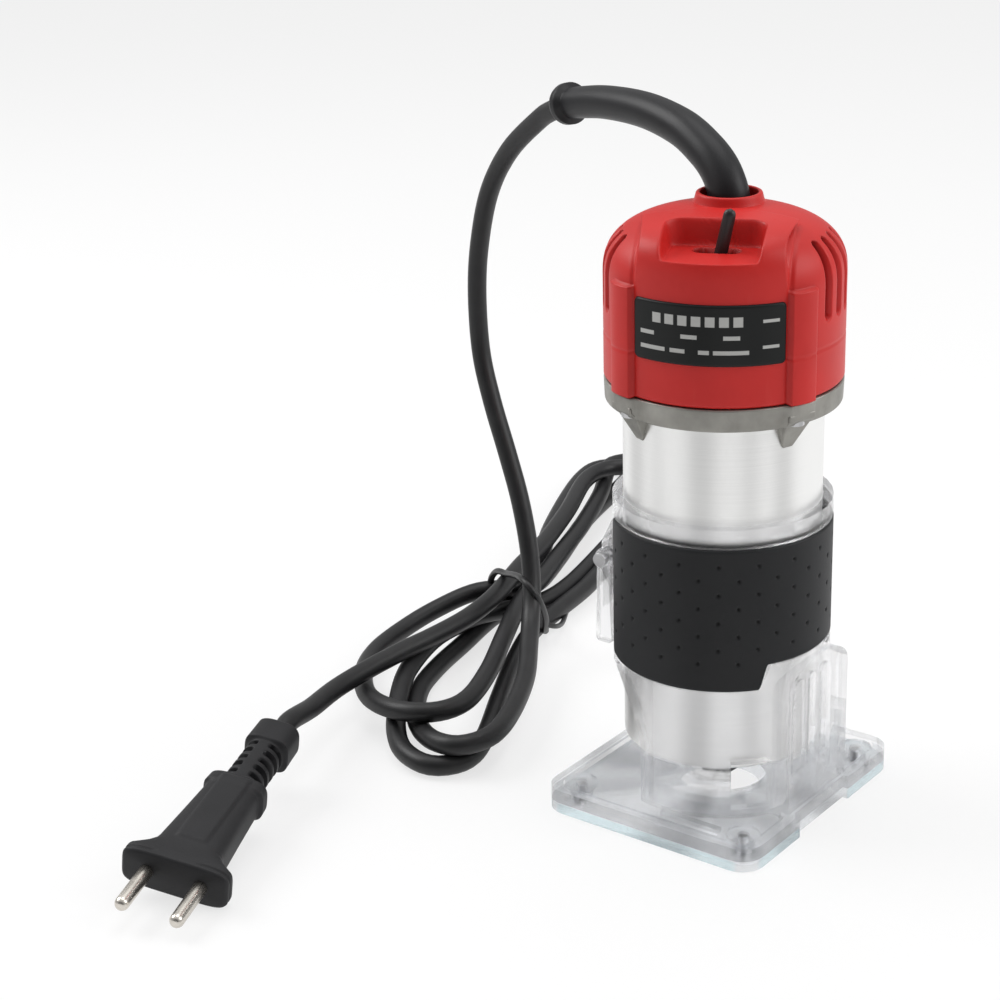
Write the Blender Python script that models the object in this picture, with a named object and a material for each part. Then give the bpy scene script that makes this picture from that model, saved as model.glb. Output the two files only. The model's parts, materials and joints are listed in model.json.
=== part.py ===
"""Trim router with its cord, as separate solids.

Metres, +Z up. The origin is on the spindle axis at the underside of the sub-base, +X is the side of
the guide bracket, and -X is the side of the clamp. Angles run from -Y towards +X. The motor unit is
turned in the base by MOTOR_TURN.
"""

import math

import bmesh
import bpy
from mathutils import Matrix, Vector

MM = 0.001
GAP = 0.3 * MM
FINE, MEDIUM, COARSE = 36, 20, 12

# Base and sub-base
BASE_X, BASE_Y, BASE_CORNER = 82 * MM, 95 * MM, 8 * MM
SUB_BASE_THICK = 3.5 * MM
FLANGE_THICK, RIM_HEIGHT, RIM_WIDTH = 3.0 * MM, 1.7 * MM, 4 * MM
NOTCH_HALF, NOTCH_DEPTH = 16 * MM, 2 * MM
SUB_BASE_HOLE_R, FLANGE_HOLE_R = 14 * MM, 16 * MM
SCREW_X, SCREW_Y = 32 * MM, 37 * MM
SCREW_R, SCREW_HEAD_R, SCREW_HEAD_THICK = 1.7 * MM, 3.6 * MM, 1.9 * MM
SCREW_BOSS_R = 5.6 * MM
FENCE_SLOT_X, FENCE_SLOT_LONG, FENCE_SLOT_WIDE = 14 * MM, 28 * MM, 2.6 * MM
RING_TOP = 108.7 * MM
SLEEVE_LOW, SLEEVE_HIGH, SLEEVE_STEP_RISE = 52.6 * MM, 101.8 * MM, 8.5 * MM
SLEEVE_THICK = 1.5 * MM
SLEEVE_OPEN = math.radians(40)
SLEEVE_STEP_HALF = math.radians(36)
WINDOW_HALF, WINDOW_SHOULDER = math.radians(75), math.radians(45)
WINDOW_LOW, WINDOW_HIGH, WINDOW_CURVE = 27 * MM, 50 * MM, 1.6
SIGHT_FROM, SIGHT_TO = math.radians(37.5), math.radians(59.5)
SIGHT_LOW, SIGHT_HIGH = 10 * MM, 26.5 * MM
BRACKET_PROUD, BRACKET_HALF, BRACKET_HIGH, BRACKET_CROWN = 1.85 * MM, 18.5 * MM, 51 * MM, 60 * MM
GROOVE_DEPTH, GROOVE_LOW, GROOVE_HIGH = 1.6 * MM, 22 * MM, 55 * MM
GROOVES = ((-12.5 * MM, 8 * MM), (-4.5 * MM, 4 * MM), (4.5 * MM, 6 * MM))

# Clamp
SLIT_WIDE, SLIT_LOW = 4 * MM, 50.5 * MM
EAR_THICK, EAR_LOW, EAR_HIGH, EAR_PAST_BOLT = 6 * MM, 62 * MM, 97 * MM, 3.9 * MM
CLAMP_OFF_SKIRT, CLAMP_Z = 2.85 * MM, 80 * MM
CLAMP_BOLT_R, CLAMP_NUT_R, CLAMP_NUT_THICK, CLAMP_WASHER_THICK = 2 * MM, 3.4 * MM, 3 * MM, MM
CLAMP_HEAD_R, CLAMP_HEAD_THICK = 2.6 * MM, 2 * MM
LEVER_THICK, LEVER_HALF, LEVER_LONG, LEVER_HUB_R = 3.4 * MM, 3.3 * MM, 31 * MM, 3.4 * MM

# Motor unit
MOTOR_TURN = math.radians(23.85)
TUBE_R, TUBE_WALL, TUBE_LOW = 32.5 * MM, 2.5 * MM, 23.4 * MM
COLLAR_PAST_TUBE, COLLAR_LOW, COLLAR_HIGH = 6 * MM, 141.4 * MM, 149.1 * MM
TUBE_CLEARANCE, RING_WALL = 0.3 * MM, 3.35 * MM
HOUSING_FLOOR = 5.3 * MM
BOSS_ANGLES = tuple(math.radians(a) for a in (46, 134, 226, 314))
BOSS_WIDE, BOSS_PROUD, BOSS_DEEP = 11 * MM, 1.4 * MM, 8.5 * MM
LUG_LOW, GUSSET_LOW = 143.8 * MM, 133 * MM
CAP_LOW, CAP_SHOULDER, CAP_TOP, CAP_CURVE = 149.4 * MM, 183 * MM, 203.6 * MM, 2.6
CAP_WALL, CAP_BOSS_HIGH = 2.5 * MM, 185 * MM
CAP_SCREW_INSET, CAP_SCREW_R, CAP_SCREW_HEAD_R = 2.5 * MM, 1.9 * MM, 2.9 * MM
CAP_SCREW_HIGH, CAP_SCREW_HEAD_THICK = 172 * MM, 2.6 * MM
VENT_FIRST, VENT_PITCH, VENT_COUNT = math.radians(64), math.radians(10.5), 4
VENT_WIDE, VENT_LOW, VENT_HIGH = 3.2 * MM, 173 * MM, 195.5 * MM
NECK_Y, NECK_R, NECK_HOLE_R, NECK_LOW, NECK_HIGH = 9 * MM, 10.6 * MM, 9.2 * MM, 196.5 * MM, 206.5 * MM
RECESS_HALF, RECESS_BACK, RECESS_FLOOR, RECESS_WALL = 14 * MM, 15.5 * MM, 195 * MM, 2.5 * MM
SWITCH_Y, SLOT_LONG, SLOT_WIDE = 21.5 * MM, 11.4 * MM, 5.2 * MM
PLATE_HALF, PLATE_LOW, PLATE_HIGH, PLATE_THICK = math.radians(37), 163.1 * MM, 182.5 * MM, 0.6 * MM

# Switch
SWITCH_X, SWITCH_DEEP, SWITCH_TALL = 22 * MM, 13 * MM, 18 * MM
TOGGLE_PIVOT_DROP, TOGGLE_R, TOGGLE_REACH = 6.5 * MM, 2.0 * MM, 24 * MM
TOGGLE_TILT = math.radians(12)

# Spindle line
NUT_LOW, NUT_HIGH, NUT_R = 9.5 * MM, 21.5 * MM, 9 * MM
NOSE_LOW, NOSE_R, NOSE_BORE_R = 12 * MM, 7 * MM, 5 * MM
COLLET_LOW, COLLET_HIGH, COLLET_R, COLLET_BORE_R = 9.0 * MM, 22.5 * MM, 4.5 * MM, 3.18 * MM
SHAFT_R, SHAFT_TOP = 5 * MM, 138.5 * MM
LOWER_BEARING_R, LOWER_BEARING_BORE_R, LOWER_BEARING_THICK = 11 * MM, 4.15 * MM, 7 * MM
UPPER_BEARING_R, UPPER_BEARING_BORE_R, UPPER_BEARING_THICK = 9.5 * MM, 3.65 * MM, 6 * MM
UPPER_BEARING_LOW = 131 * MM
SEAT_BOSS_R, RETAINER_THICK, RETAINER_SCREW_AT = 19 * MM, 2 * MM, 15 * MM
FAN_LOW, FAN_HIGH, FAN_R, FAN_BLADES = 44 * MM, 52 * MM, 27 * MM, 9
CORE_LOW, CORE_HIGH, CORE_R, CORE_SLOTS, CORE_SLOT_DEPTH = 62 * MM, 100 * MM, 15 * MM, 12, 3.4 * MM
WINDING_OVERHANG = 6 * MM
STATOR_LOW, STATOR_HIGH, YOKE_R = 60 * MM, 102 * MM, 24 * MM
AIR_GAP = 0.6 * MM
POLE_HALF, COIL_HALF = math.radians(45), math.radians(84)
COIL_OVERHANG = 7 * MM
COMMUTATOR_LOW, COMMUTATOR_HIGH, COMMUTATOR_R, BARS = 112 * MM, 126 * MM, 11 * MM, 16
BRUSH_Z, BRUSH_WIDE, BRUSH_TALL, BRUSH_LONG = 119 * MM, 6 * MM, 8 * MM, 11 * MM
HOLDER_WALL, HOLDER_FROM, HOLDER_OFF_WALL = 1.6 * MM, 12.8 * MM, 0.8 * MM
SPRING_R, SPRING_WIRE_R, SPRING_TURNS = 2.2 * MM, 0.4 * MM, 4
BRIDGE_LOW, BRIDGE_HIGH, BRIDGE_R, BRIDGE_HALF = 128 * MM, 138 * MM, 14 * MM, 5 * MM

# Cord
CORD_R, END_STRAIGHT = 3.65 * MM, 3 * MM
HANK_HIGH = 19 * MM
RELIEF_R, RELIEF_END_R, RELIEF_LIP_R, RELIEF_LIP_LONG = 6.7 * MM, 5.3 * MM, 7.3 * MM, 3.2 * MM
ANCHOR_R, ANCHOR_THICK, ANCHOR_HIGH = 9 * MM, 3 * MM, 196.2 * MM
CLAMP_BAR_HALF, CLAMP_BAR_DEEP, CLAMP_BAR_THICK, POST_X, POST_R = 16.5 * MM, 7 * MM, 3.4 * MM, 13 * MM, 3 * MM
TIE_AT = Vector((-134.7, 70, 0)) * MM
TIE_HALF, TIE_THICK, TIE_LONG = 12.3 * MM, 2 * MM, 4 * MM
PLUG_TIP, PLUG_HEAD = Vector((-93, -182.5, 7.2)) * MM, Vector((-0.3125, 0.942, 0.118))
PLUG_ROLL = math.radians(10)
PIN_R, PIN_LONG, PIN_SPREAD = 2.4 * MM, 19 * MM, 9.3 * MM
PLUG_HALF_WIDE, PLUG_HALF_THICK, FLANGE_LONG, BODY_LONG = 18.5 * MM, 7.4 * MM, 8 * MM, 42 * MM
RIB_COUNT, RIB_PITCH, COLLAR_LONG, PLUG_COLLAR_R = 5, 4.4 * MM, 12 * MM, 8 * MM

SKIRT_INSIDE_R = TUBE_R + TUBE_CLEARANCE
SKIRT_R = SKIRT_INSIDE_R + RING_WALL
BRACKET_X = SKIRT_R + BRACKET_PROUD
CLAMP_X = SKIRT_R + CLAMP_OFF_SKIRT
EAR_TIP_X = CLAMP_X + EAR_PAST_BOLT
TUBE_INSIDE_R = TUBE_R - TUBE_WALL
HOLDER_TO = TUBE_INSIDE_R - HOLDER_OFF_WALL
COLLAR_R = TUBE_R + COLLAR_PAST_TUBE
BOSS_R = COLLAR_R + BOSS_PROUD
CAP_SCREW_AT = COLLAR_R - CAP_SCREW_INSET
FLANGE_LOW = SUB_BASE_THICK + GAP
FLANGE_TOP = FLANGE_LOW + FLANGE_THICK
SEAT_LOW = TUBE_LOW + HOUSING_FLOOR
RETAINER_LOW = SEAT_LOW + LOWER_BEARING_THICK + 2 * GAP


# Materials

def material(name, colour, roughness, metallic=0.0, alpha=1.0):
    made = bpy.data.materials.get(name) or bpy.data.materials.new(name)
    made.use_nodes = True
    shader = made.node_tree.nodes["Principled BSDF"]
    shader.inputs["Base Color"].default_value = (*colour, 1)
    shader.inputs["Roughness"].default_value = roughness
    shader.inputs["Metallic"].default_value = metallic
    shader.inputs["Alpha"].default_value = alpha
    return made


RED = ("red_plastic", (0.62, 0.035, 0.035), 0.42)
BLACK = ("black_plastic", (0.02, 0.02, 0.022), 0.5)
RUBBER = ("black_rubber", (0.03, 0.03, 0.033), 0.7)
CLEAR = ("clear_plastic", (0.85, 0.88, 0.9), 0.08, 0.0, 0.35)
BLUISH = ("bluish_clear_plastic", (0.7, 0.85, 0.88), 0.08, 0.0, 0.4)
ALUMINIUM = ("turned_aluminium", (0.8, 0.8, 0.8), 0.3, 1.0)
STEEL = ("steel", (0.55, 0.55, 0.56), 0.35, 1.0)
DARK_STEEL = ("dark_steel", (0.12, 0.12, 0.13), 0.4, 0.9)
COPPER = ("copper", (0.72, 0.32, 0.16), 0.35, 1.0)
CARBON = ("carbon", (0.05, 0.05, 0.05), 0.8)
BRASS = ("brass", (0.75, 0.6, 0.3), 0.35, 1.0)
CORD_PVC = ("cord_pvc", (0.02, 0.02, 0.022), 0.55)


# Shapes

def add_mesh(name, shape, finish, parent=None, sharp=30):
    """Make a named object of a bmesh, shaded smooth up to the sharp angle, and free the bmesh."""
    bmesh.ops.recalc_face_normals(shape, faces=shape.faces)
    mesh = bpy.data.meshes.new(name)
    shape.to_mesh(mesh)
    shape.free()
    mesh.shade_smooth()
    mesh.set_sharp_from_angle(angle=math.radians(sharp))
    made = bpy.data.objects.new(name, mesh)
    bpy.context.collection.objects.link(made)
    made.parent = parent
    if finish:
        mesh.materials.append(material(*finish))
    return made


def merge_doubles(mesh):
    """Join points that a Boolean left within a few thousandths of a millimetre of each other."""
    shape = bmesh.new()
    shape.from_mesh(mesh)
    bmesh.ops.triangulate(shape, faces=shape.faces)
    bmesh.ops.remove_doubles(shape, verts=shape.verts, dist=0.004 * MM)
    bmesh.ops.dissolve_degenerate(shape, edges=shape.edges, dist=0.002 * MM)
    shape.to_mesh(mesh)
    shape.free()


def combine(target, operation, *shapes):
    """Apply a Boolean with each bmesh in turn and drop the tool."""
    for shape in shapes:
        tool = add_mesh("tool", shape, None, target.parent)
        modifier = target.modifiers.new("combine", "BOOLEAN")
        modifier.operation = operation
        modifier.object = tool
        bpy.context.view_layer.update()
        graph = bpy.context.evaluated_depsgraph_get()
        mesh = bpy.data.meshes.new_from_object(target.evaluated_get(graph))
        target.modifiers.clear()
        target.data = mesh
        bpy.data.objects.remove(tool)
        merge_doubles(mesh)
    target.data.shade_smooth()
    target.data.set_sharp_from_angle(angle=math.radians(30))
    return target


def turned(outline, steps=MEDIUM, x=0.0, y=0.0):
    """A closed outline of (radius, height) turned about +Z. Points at radius 0 become poles."""
    shape = bmesh.new()
    rings = []
    for radius, height in outline:
        if radius < 1e-7:
            rings.append([shape.verts.new((x, y, height))] * steps)
            continue
        angles = [math.tau * k / steps for k in range(steps)]
        rings.append(
            [shape.verts.new((x + radius * math.sin(a), y - radius * math.cos(a), height)) for a in angles]
        )
    for first, second in zip(rings, rings[1:] + rings[:1]):
        if first[0] is first[1] and second[0] is second[1]:
            continue
        for k in range(steps):
            n = (k + 1) % steps
            corners = dict.fromkeys((first[k], first[n], second[n], second[k]))
            shape.faces.new(list(corners))
    return shape


def rod(radius, low, high, steps=COARSE, x=0.0, y=0.0):
    return turned([(0, low), (radius, low), (radius, high), (0, high)], steps, x, y)


def ring(inside, outside, low, high, steps=MEDIUM, x=0.0, y=0.0):
    return turned([(inside, low), (outside, low), (outside, high), (inside, high)], steps, x, y)


def prism(outline, low, high):
    """An outline of (x, y) extruded between two heights."""
    shape = bmesh.new()
    foot = [shape.verts.new((x, y, low)) for x, y in outline]
    head = [shape.verts.new((x, y, high)) for x, y in outline]
    shape.faces.new(foot)
    shape.faces.new(head)
    count = len(outline)
    for k in range(count):
        n = (k + 1) % count
        shape.faces.new((foot[k], foot[n], head[n], head[k]))
    return shape


def block(x0, x1, y0, y1, low, high):
    return prism([(x0, y0), (x1, y0), (x1, y1), (x0, y1)], low, high)


def upright_x(outline, x0, x1):
    """An outline of (y, z) extruded along X."""
    shape = prism(outline, x0, x1)
    bmesh.ops.transform(shape, matrix=Matrix(((0, 0, 1, 0), (1, 0, 0, 0), (0, 1, 0, 0), (0, 0, 0, 1))), verts=shape.verts)
    return shape


def upright_y(outline, y0, y1):
    """An outline of (x, z) extruded along Y."""
    shape = prism(outline, y0, y1)
    bmesh.ops.transform(shape, matrix=Matrix(((1, 0, 0, 0), (0, 0, 1, 0), (0, 1, 0, 0), (0, 0, 0, 1))), verts=shape.verts)
    return shape


def turn(shape, angle):
    bmesh.ops.rotate(shape, verts=shape.verts, matrix=Matrix.Rotation(angle, 3, "Z"))
    return shape


def gather(shapes):
    """Several separate shapes in one bmesh, so that one Boolean uses them all."""
    whole = bmesh.new()
    for shape in shapes:
        mesh = bpy.data.meshes.new("gathered")
        shape.to_mesh(mesh)
        shape.free()
        whole.from_mesh(mesh)
        bpy.data.meshes.remove(mesh)
    return whole


def wrapped(angles, low, high, inside, outside):
    """A patch of a tube wall: low and high give its edges' heights at each angle."""
    shape = bmesh.new()
    columns = []
    for angle in angles:
        sine, cosine = math.sin(angle), -math.cos(angle)
        corners = ((inside, low(angle)), (outside, low(angle)), (outside, high(angle)), (inside, high(angle)))
        columns.append([shape.verts.new((r * sine, r * cosine, z)) for r, z in corners])
    for first, second in zip(columns, columns[1:]):
        for k in range(4):
            n = (k + 1) % 4
            shape.faces.new((first[k], first[n], second[n], second[k]))
    shape.faces.new(columns[0])
    shape.faces.new(columns[-1])
    return shape


def spread(start, end, count):
    return [start + (end - start) * k / (count - 1) for k in range(count)]


def cogged(outer, inner, low, high, steps):
    """A ring whose two radii are functions of the angle."""
    shape = bmesh.new()
    walls = []
    for radius, height in ((inner, low), (outer, low), (outer, high), (inner, high)):
        wall = []
        for k in range(steps):
            angle = math.tau * k / steps
            place = (radius(k) * math.sin(angle), -radius(k) * math.cos(angle), height)
            wall.append(shape.verts.new(place))
        walls.append(wall)
    for first, second in zip(walls, walls[1:] + walls[:1]):
        for k in range(steps):
            n = (k + 1) % steps
            shape.faces.new((first[k], first[n], second[n], second[k]))
    return shape


def rounded_rectangle(half_x, half_y, radius, steps=6):
    points = []
    for quarter, (sx, sy) in enumerate(((1, 1), (-1, 1), (-1, -1), (1, -1))):
        for k in range(steps + 1):
            angle = math.pi / 2 * (quarter + k / steps)
            x = sx * (half_x - radius) + radius * math.cos(angle)
            points.append((x, sy * (half_y - radius) + radius * math.sin(angle)))
    return points


def smooth_route(points, spacing):
    """Points at an even spacing along a Catmull-Rom curve through the given points."""
    ends = [points[0] * 2 - points[1], *points, points[-1] * 2 - points[-2]]
    fine = []
    for a, b, c, d in zip(ends, ends[1:], ends[2:], ends[3:]):
        for k in range(24):
            t = k / 24
            fine.append(
                (b * 2 + (c - a) * t + (a * 2 - b * 5 + c * 4 - d) * t**2 + (b * 3 - a - c * 3 + d) * t**3) / 2
            )
    fine.append(points[-1])
    lengths = [0.0]
    for first, second in zip(fine, fine[1:]):
        lengths.append(lengths[-1] + (second - first).length)
    count = max(2, round(lengths[-1] / spacing)) + 1
    route = []
    at = 0
    for wanted in spread(0, lengths[-1], count):
        while at < len(fine) - 2 and lengths[at + 1] < wanted:
            at += 1
        part = (wanted - lengths[at]) / (lengths[at + 1] - lengths[at])
        route.append(fine[at].lerp(fine[at + 1], part))
    return route


def tube(name, route, radius, finish, parent=None, radii=None, sides=3):
    """A curve with a round section along the route, closed at both ends."""
    curve = bpy.data.curves.new(name, "CURVE")
    curve.dimensions = "3D"
    curve.bevel_depth = radius
    curve.bevel_resolution = sides
    curve.use_fill_caps = True
    spline = curve.splines.new("POLY")
    spline.points.add(len(route) - 1)
    for k, place in enumerate(route):
        spline.points[k].co = (*place, 1)
        spline.points[k].radius = radii[k] if radii else 1
    made = bpy.data.objects.new(name, curve)
    bpy.context.collection.objects.link(made)
    curve.materials.append(material(*finish))
    if parent:
        made.parent = parent
        made.matrix_parent_inverse = parent.matrix_world.inverted()
    return made


def frame_at(name, place, rotation=None):
    empty = bpy.data.objects.new(name, None)
    bpy.context.collection.objects.link(empty)
    empty.matrix_world = Matrix.Translation(place) @ (rotation or Matrix())
    bpy.context.view_layer.update()
    return empty


# Sub-base and clear base

def base_outline(inset=0.0):
    """A rounded rectangle with a shallow notch in its +X side."""
    half_x, half_y = BASE_X / 2 - inset, BASE_Y / 2 - inset
    outline = rounded_rectangle(half_x, half_y, BASE_CORNER - inset)
    notch_x, notch_y = half_x - NOTCH_DEPTH, NOTCH_HALF + inset
    notch = [(half_x, -notch_y), (notch_x, -notch_y), (notch_x, notch_y), (half_x, notch_y)]
    return outline + notch


def screw_places():
    return [(sx * SCREW_X, sy * SCREW_Y) for sx in (1, -1) for sy in (1, -1)]


def build_sub_base():
    plate = add_mesh("sub_base", prism(base_outline(), 0, SUB_BASE_THICK), BLUISH)
    counterbore = SCREW_HEAD_THICK + 2 * GAP
    cuts = [rod(SUB_BASE_HOLE_R, -MM, SUB_BASE_THICK + MM, FINE)]
    cuts += [rod(SCREW_R + GAP, -MM, SUB_BASE_THICK + MM, COARSE, x, y) for x, y in screw_places()]
    combine(plate, "DIFFERENCE", gather(cuts))
    heads = [rod(SCREW_HEAD_R + GAP, -MM, counterbore, COARSE, x, y) for x, y in screw_places()]
    combine(plate, "DIFFERENCE", gather(heads))
    for number, (x, y) in enumerate(screw_places(), 1):
        low, neck = GAP, GAP + SCREW_HEAD_THICK
        high = FLANGE_TOP + RIM_HEIGHT - 1.2 * MM
        outline = [(0, low), (SCREW_HEAD_R, low), (SCREW_HEAD_R, neck), (SCREW_R, neck), (SCREW_R, high), (0, high)]
        add_mesh(f"sub_base_screw_{number}", turned(outline, COARSE, x, y), STEEL)


def window_top(angle):
    """The chip window's upper edge: level in the middle, then falling along a rounded S to its sides."""
    away = abs(angle + math.pi / 2) - WINDOW_SHOULDER
    share = min(max(away / (WINDOW_HALF - WINDOW_SHOULDER), 0), 1)
    return WINDOW_LOW + (WINDOW_HIGH - WINDOW_LOW) * (1 - share**WINDOW_CURVE) ** (1 / WINDOW_CURVE)


def sleeve_low(angle, drop=0.0):
    """The sleeve's lower edge, stepped up over the guide bracket."""
    away = abs(angle - math.pi / 2)
    share = min(max((SLEEVE_STEP_HALF + math.radians(3) - away) / math.radians(6), 0), 1)
    rise = SLEEVE_STEP_RISE * share * share * (3 - 2 * share)
    return SLEEVE_LOW + rise - drop


def sleeve_angles():
    return spread(-math.pi / 2 + SLEEVE_OPEN, 1.5 * math.pi - SLEEVE_OPEN, 45)


def ear_outline():
    wall = SKIRT_INSIDE_R + 0.6 * MM
    tip = [(-EAR_TIP_X, CLAMP_Z + 4 * MM), (-EAR_TIP_X, CLAMP_Z - 4 * MM)]
    return [(-wall, EAR_HIGH), (-wall - 3 * MM, EAR_HIGH), *tip, (-wall - 2 * MM, EAR_LOW), (-wall, EAR_LOW)]


def bracket_outline():
    """The guide bracket's front, (y, z): straight sides and a low arched top."""
    arch = [
        (BRACKET_HALF * math.cos(a), BRACKET_HIGH + (BRACKET_CROWN - BRACKET_HIGH) * math.sin(a))
        for a in spread(0, math.pi, 13)
    ]
    return [(-BRACKET_HALF, FLANGE_LOW + MM), (BRACKET_HALF, FLANGE_LOW + MM), *arch]


def groove(y, wide):
    """A round-ended upright groove in the bracket's face."""
    half = wide / 2
    arch = [(y + half * math.cos(a), GROOVE_HIGH - half + half * math.sin(a)) for a in spread(0, math.pi, 9)]
    return upright_x([(y - half, GROOVE_LOW), (y + half, GROOVE_LOW), *arch], BRACKET_X - GROOVE_DEPTH, BRACKET_X + MM)


def build_base():
    base = add_mesh("clear_base", prism(base_outline(), FLANGE_LOW, FLANGE_TOP + RIM_HEIGHT), CLEAR)
    combine(base, "DIFFERENCE", prism(base_outline(RIM_WIDTH), FLANGE_TOP, FLANGE_TOP + 2 * RIM_HEIGHT))
    rim_top = FLANGE_TOP + RIM_HEIGHT
    bosses = [rod(SCREW_BOSS_R, FLANGE_LOW + MM, rim_top + 0.1 * MM, COARSE, x, y) for x, y in screw_places()]
    combine(base, "UNION", gather(bosses))
    combine(base, "UNION", upright_x(bracket_outline(), SKIRT_INSIDE_R - 6 * MM, BRACKET_X))
    combine(base, "UNION", rod(SKIRT_R, FLANGE_LOW + 0.8 * MM, RING_TOP, FINE))
    half = SLIT_WIDE / 2
    ears = [
        upright_y(ear_outline(), half, half + EAR_THICK),
        upright_y(ear_outline(), -half - EAR_THICK, -half),
    ]
    combine(base, "UNION", gather(ears))
    combine(base, "DIFFERENCE", rod(SKIRT_INSIDE_R, FLANGE_TOP, RING_TOP + MM, FINE))
    recess_r = SKIRT_R - SLEEVE_THICK - GAP
    rebate_high = SLEEVE_HIGH + GAP
    wide = sleeve_angles()
    wide[0], wide[-1] = wide[0] - GAP / SKIRT_R, wide[-1] + GAP / SKIRT_R
    rebate = wrapped(wide, lambda a: sleeve_low(a, GAP), lambda a: rebate_high, recess_r, BRACKET_X + 4 * MM)
    combine(base, "DIFFERENCE", rebate)
    window = spread(-math.pi / 2 - WINDOW_HALF, -math.pi / 2 + WINDOW_HALF, 27)
    window_low = FLANGE_TOP + 0.02 * MM
    opening = wrapped(window, lambda a: window_low, window_top, SKIRT_INSIDE_R - 3 * MM, SKIRT_R + 0.5 * MM)
    combine(base, "DIFFERENCE", opening)
    sights = []
    for start, end in ((SIGHT_FROM, SIGHT_TO), (math.pi - SIGHT_TO, math.pi - SIGHT_FROM)):
        sights.append(
            wrapped(
                spread(start, end, 7), lambda a: SIGHT_LOW, lambda a: SIGHT_HIGH, SKIRT_INSIDE_R - 3 * MM, SKIRT_R + 2 * MM
            )
        )
    combine(base, "DIFFERENCE", gather(sights))
    slit = block(-SKIRT_R - 9 * MM, -SKIRT_R + 6 * MM, -half, half, SLIT_LOW - 2 * MM, RING_TOP + MM)
    combine(base, "DIFFERENCE", slit)
    bolt_hole = cross_rod(CLAMP_BOLT_R + GAP, -20 * MM, 20 * MM, COARSE)
    combine(base, "DIFFERENCE", bolt_hole)
    cuts = [rod(FLANGE_HOLE_R, FLANGE_LOW - MM, FLANGE_TOP + MM, FINE)]
    cuts += [rod(SCREW_R + GAP, FLANGE_LOW - MM, rim_top - 0.6 * MM, COARSE, x, y) for x, y in screw_places()]
    slot_y = -BASE_Y / 2 + RIM_WIDTH + 6 * MM
    slot = (FENCE_SLOT_X - FENCE_SLOT_LONG / 2, FENCE_SLOT_X + FENCE_SLOT_LONG / 2 - SCREW_BOSS_R)
    cuts.append(block(*slot, slot_y, slot_y + FENCE_SLOT_WIDE, FLANGE_LOW - MM, FLANGE_TOP + MM))
    combine(base, "DIFFERENCE", gather(cuts))
    combine(base, "DIFFERENCE", gather([groove(y, width) for y, width in GROOVES]))


def cross_rod(radius, y0, y1, steps=COARSE):
    """A rod along Y through the clamp's axis."""
    circle = [
        (-CLAMP_X + radius * math.cos(a), CLAMP_Z + radius * math.sin(a))
        for a in (math.tau * k / steps for k in range(steps))
    ]
    return upright_y(circle, y0, y1)


def build_sleeve():
    high = SLEEVE_HIGH
    shape = wrapped(sleeve_angles(), sleeve_low, lambda a: high, SKIRT_R - SLEEVE_THICK, SKIRT_R)
    add_mesh("grip_sleeve", shape, RUBBER)


def build_clamp():
    """A bolt along Y through both ears, its nut on the +Y side and a hanging lever on the -Y side."""
    face = SLIT_WIDE / 2 + EAR_THICK
    pivot = frame_at("clamp_pivot", Vector((-CLAMP_X, 0, CLAMP_Z)))
    nut_high = face + GAP + CLAMP_NUT_THICK
    nut = add_mesh("clamp_nut", cross_rod(CLAMP_NUT_R, face + GAP, nut_high, 6), STEEL)
    combine(nut, "DIFFERENCE", cross_rod(CLAMP_BOLT_R + GAP, face, nut_high + MM))
    washer_low = -face - GAP - CLAMP_WASHER_THICK
    washer = add_mesh("clamp_washer", cross_rod(LEVER_HUB_R - GAP, washer_low, -face - GAP), STEEL)
    combine(washer, "DIFFERENCE", cross_rod(CLAMP_BOLT_R + GAP, washer_low - MM, -face))
    lever_high = washer_low - GAP
    lever_low = lever_high - LEVER_THICK
    half = LEVER_HALF
    hub = [
        (-CLAMP_X + LEVER_HUB_R * math.cos(a), CLAMP_Z + LEVER_HUB_R * math.sin(a))
        for a in spread(-0.7, math.pi + 0.7, 17)
    ]
    foot = CLAMP_Z - LEVER_LONG
    corners = ((-half, foot + MM), (-half + MM, foot), (half - MM, foot), (half, foot + MM))
    arm = [(-CLAMP_X + across, z) for across, z in corners]
    lever = add_mesh("clamp_lever", upright_y(hub + arm, lever_low, lever_high), CLEAR)
    combine(lever, "DIFFERENCE", cross_rod(CLAMP_BOLT_R + GAP, lever_low - MM, lever_high + MM))
    head_high = lever_low - GAP
    bolt = add_mesh("clamp_bolt", cross_rod(CLAMP_BOLT_R, head_high - MM, nut_high), STEEL)
    combine(bolt, "UNION", cross_rod(CLAMP_HEAD_R, head_high - CLAMP_HEAD_THICK, head_high))
    for piece in (lever, bolt):
        piece.parent = pivot
        piece.matrix_parent_inverse = pivot.matrix_world.inverted()


# Motor unit

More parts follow.
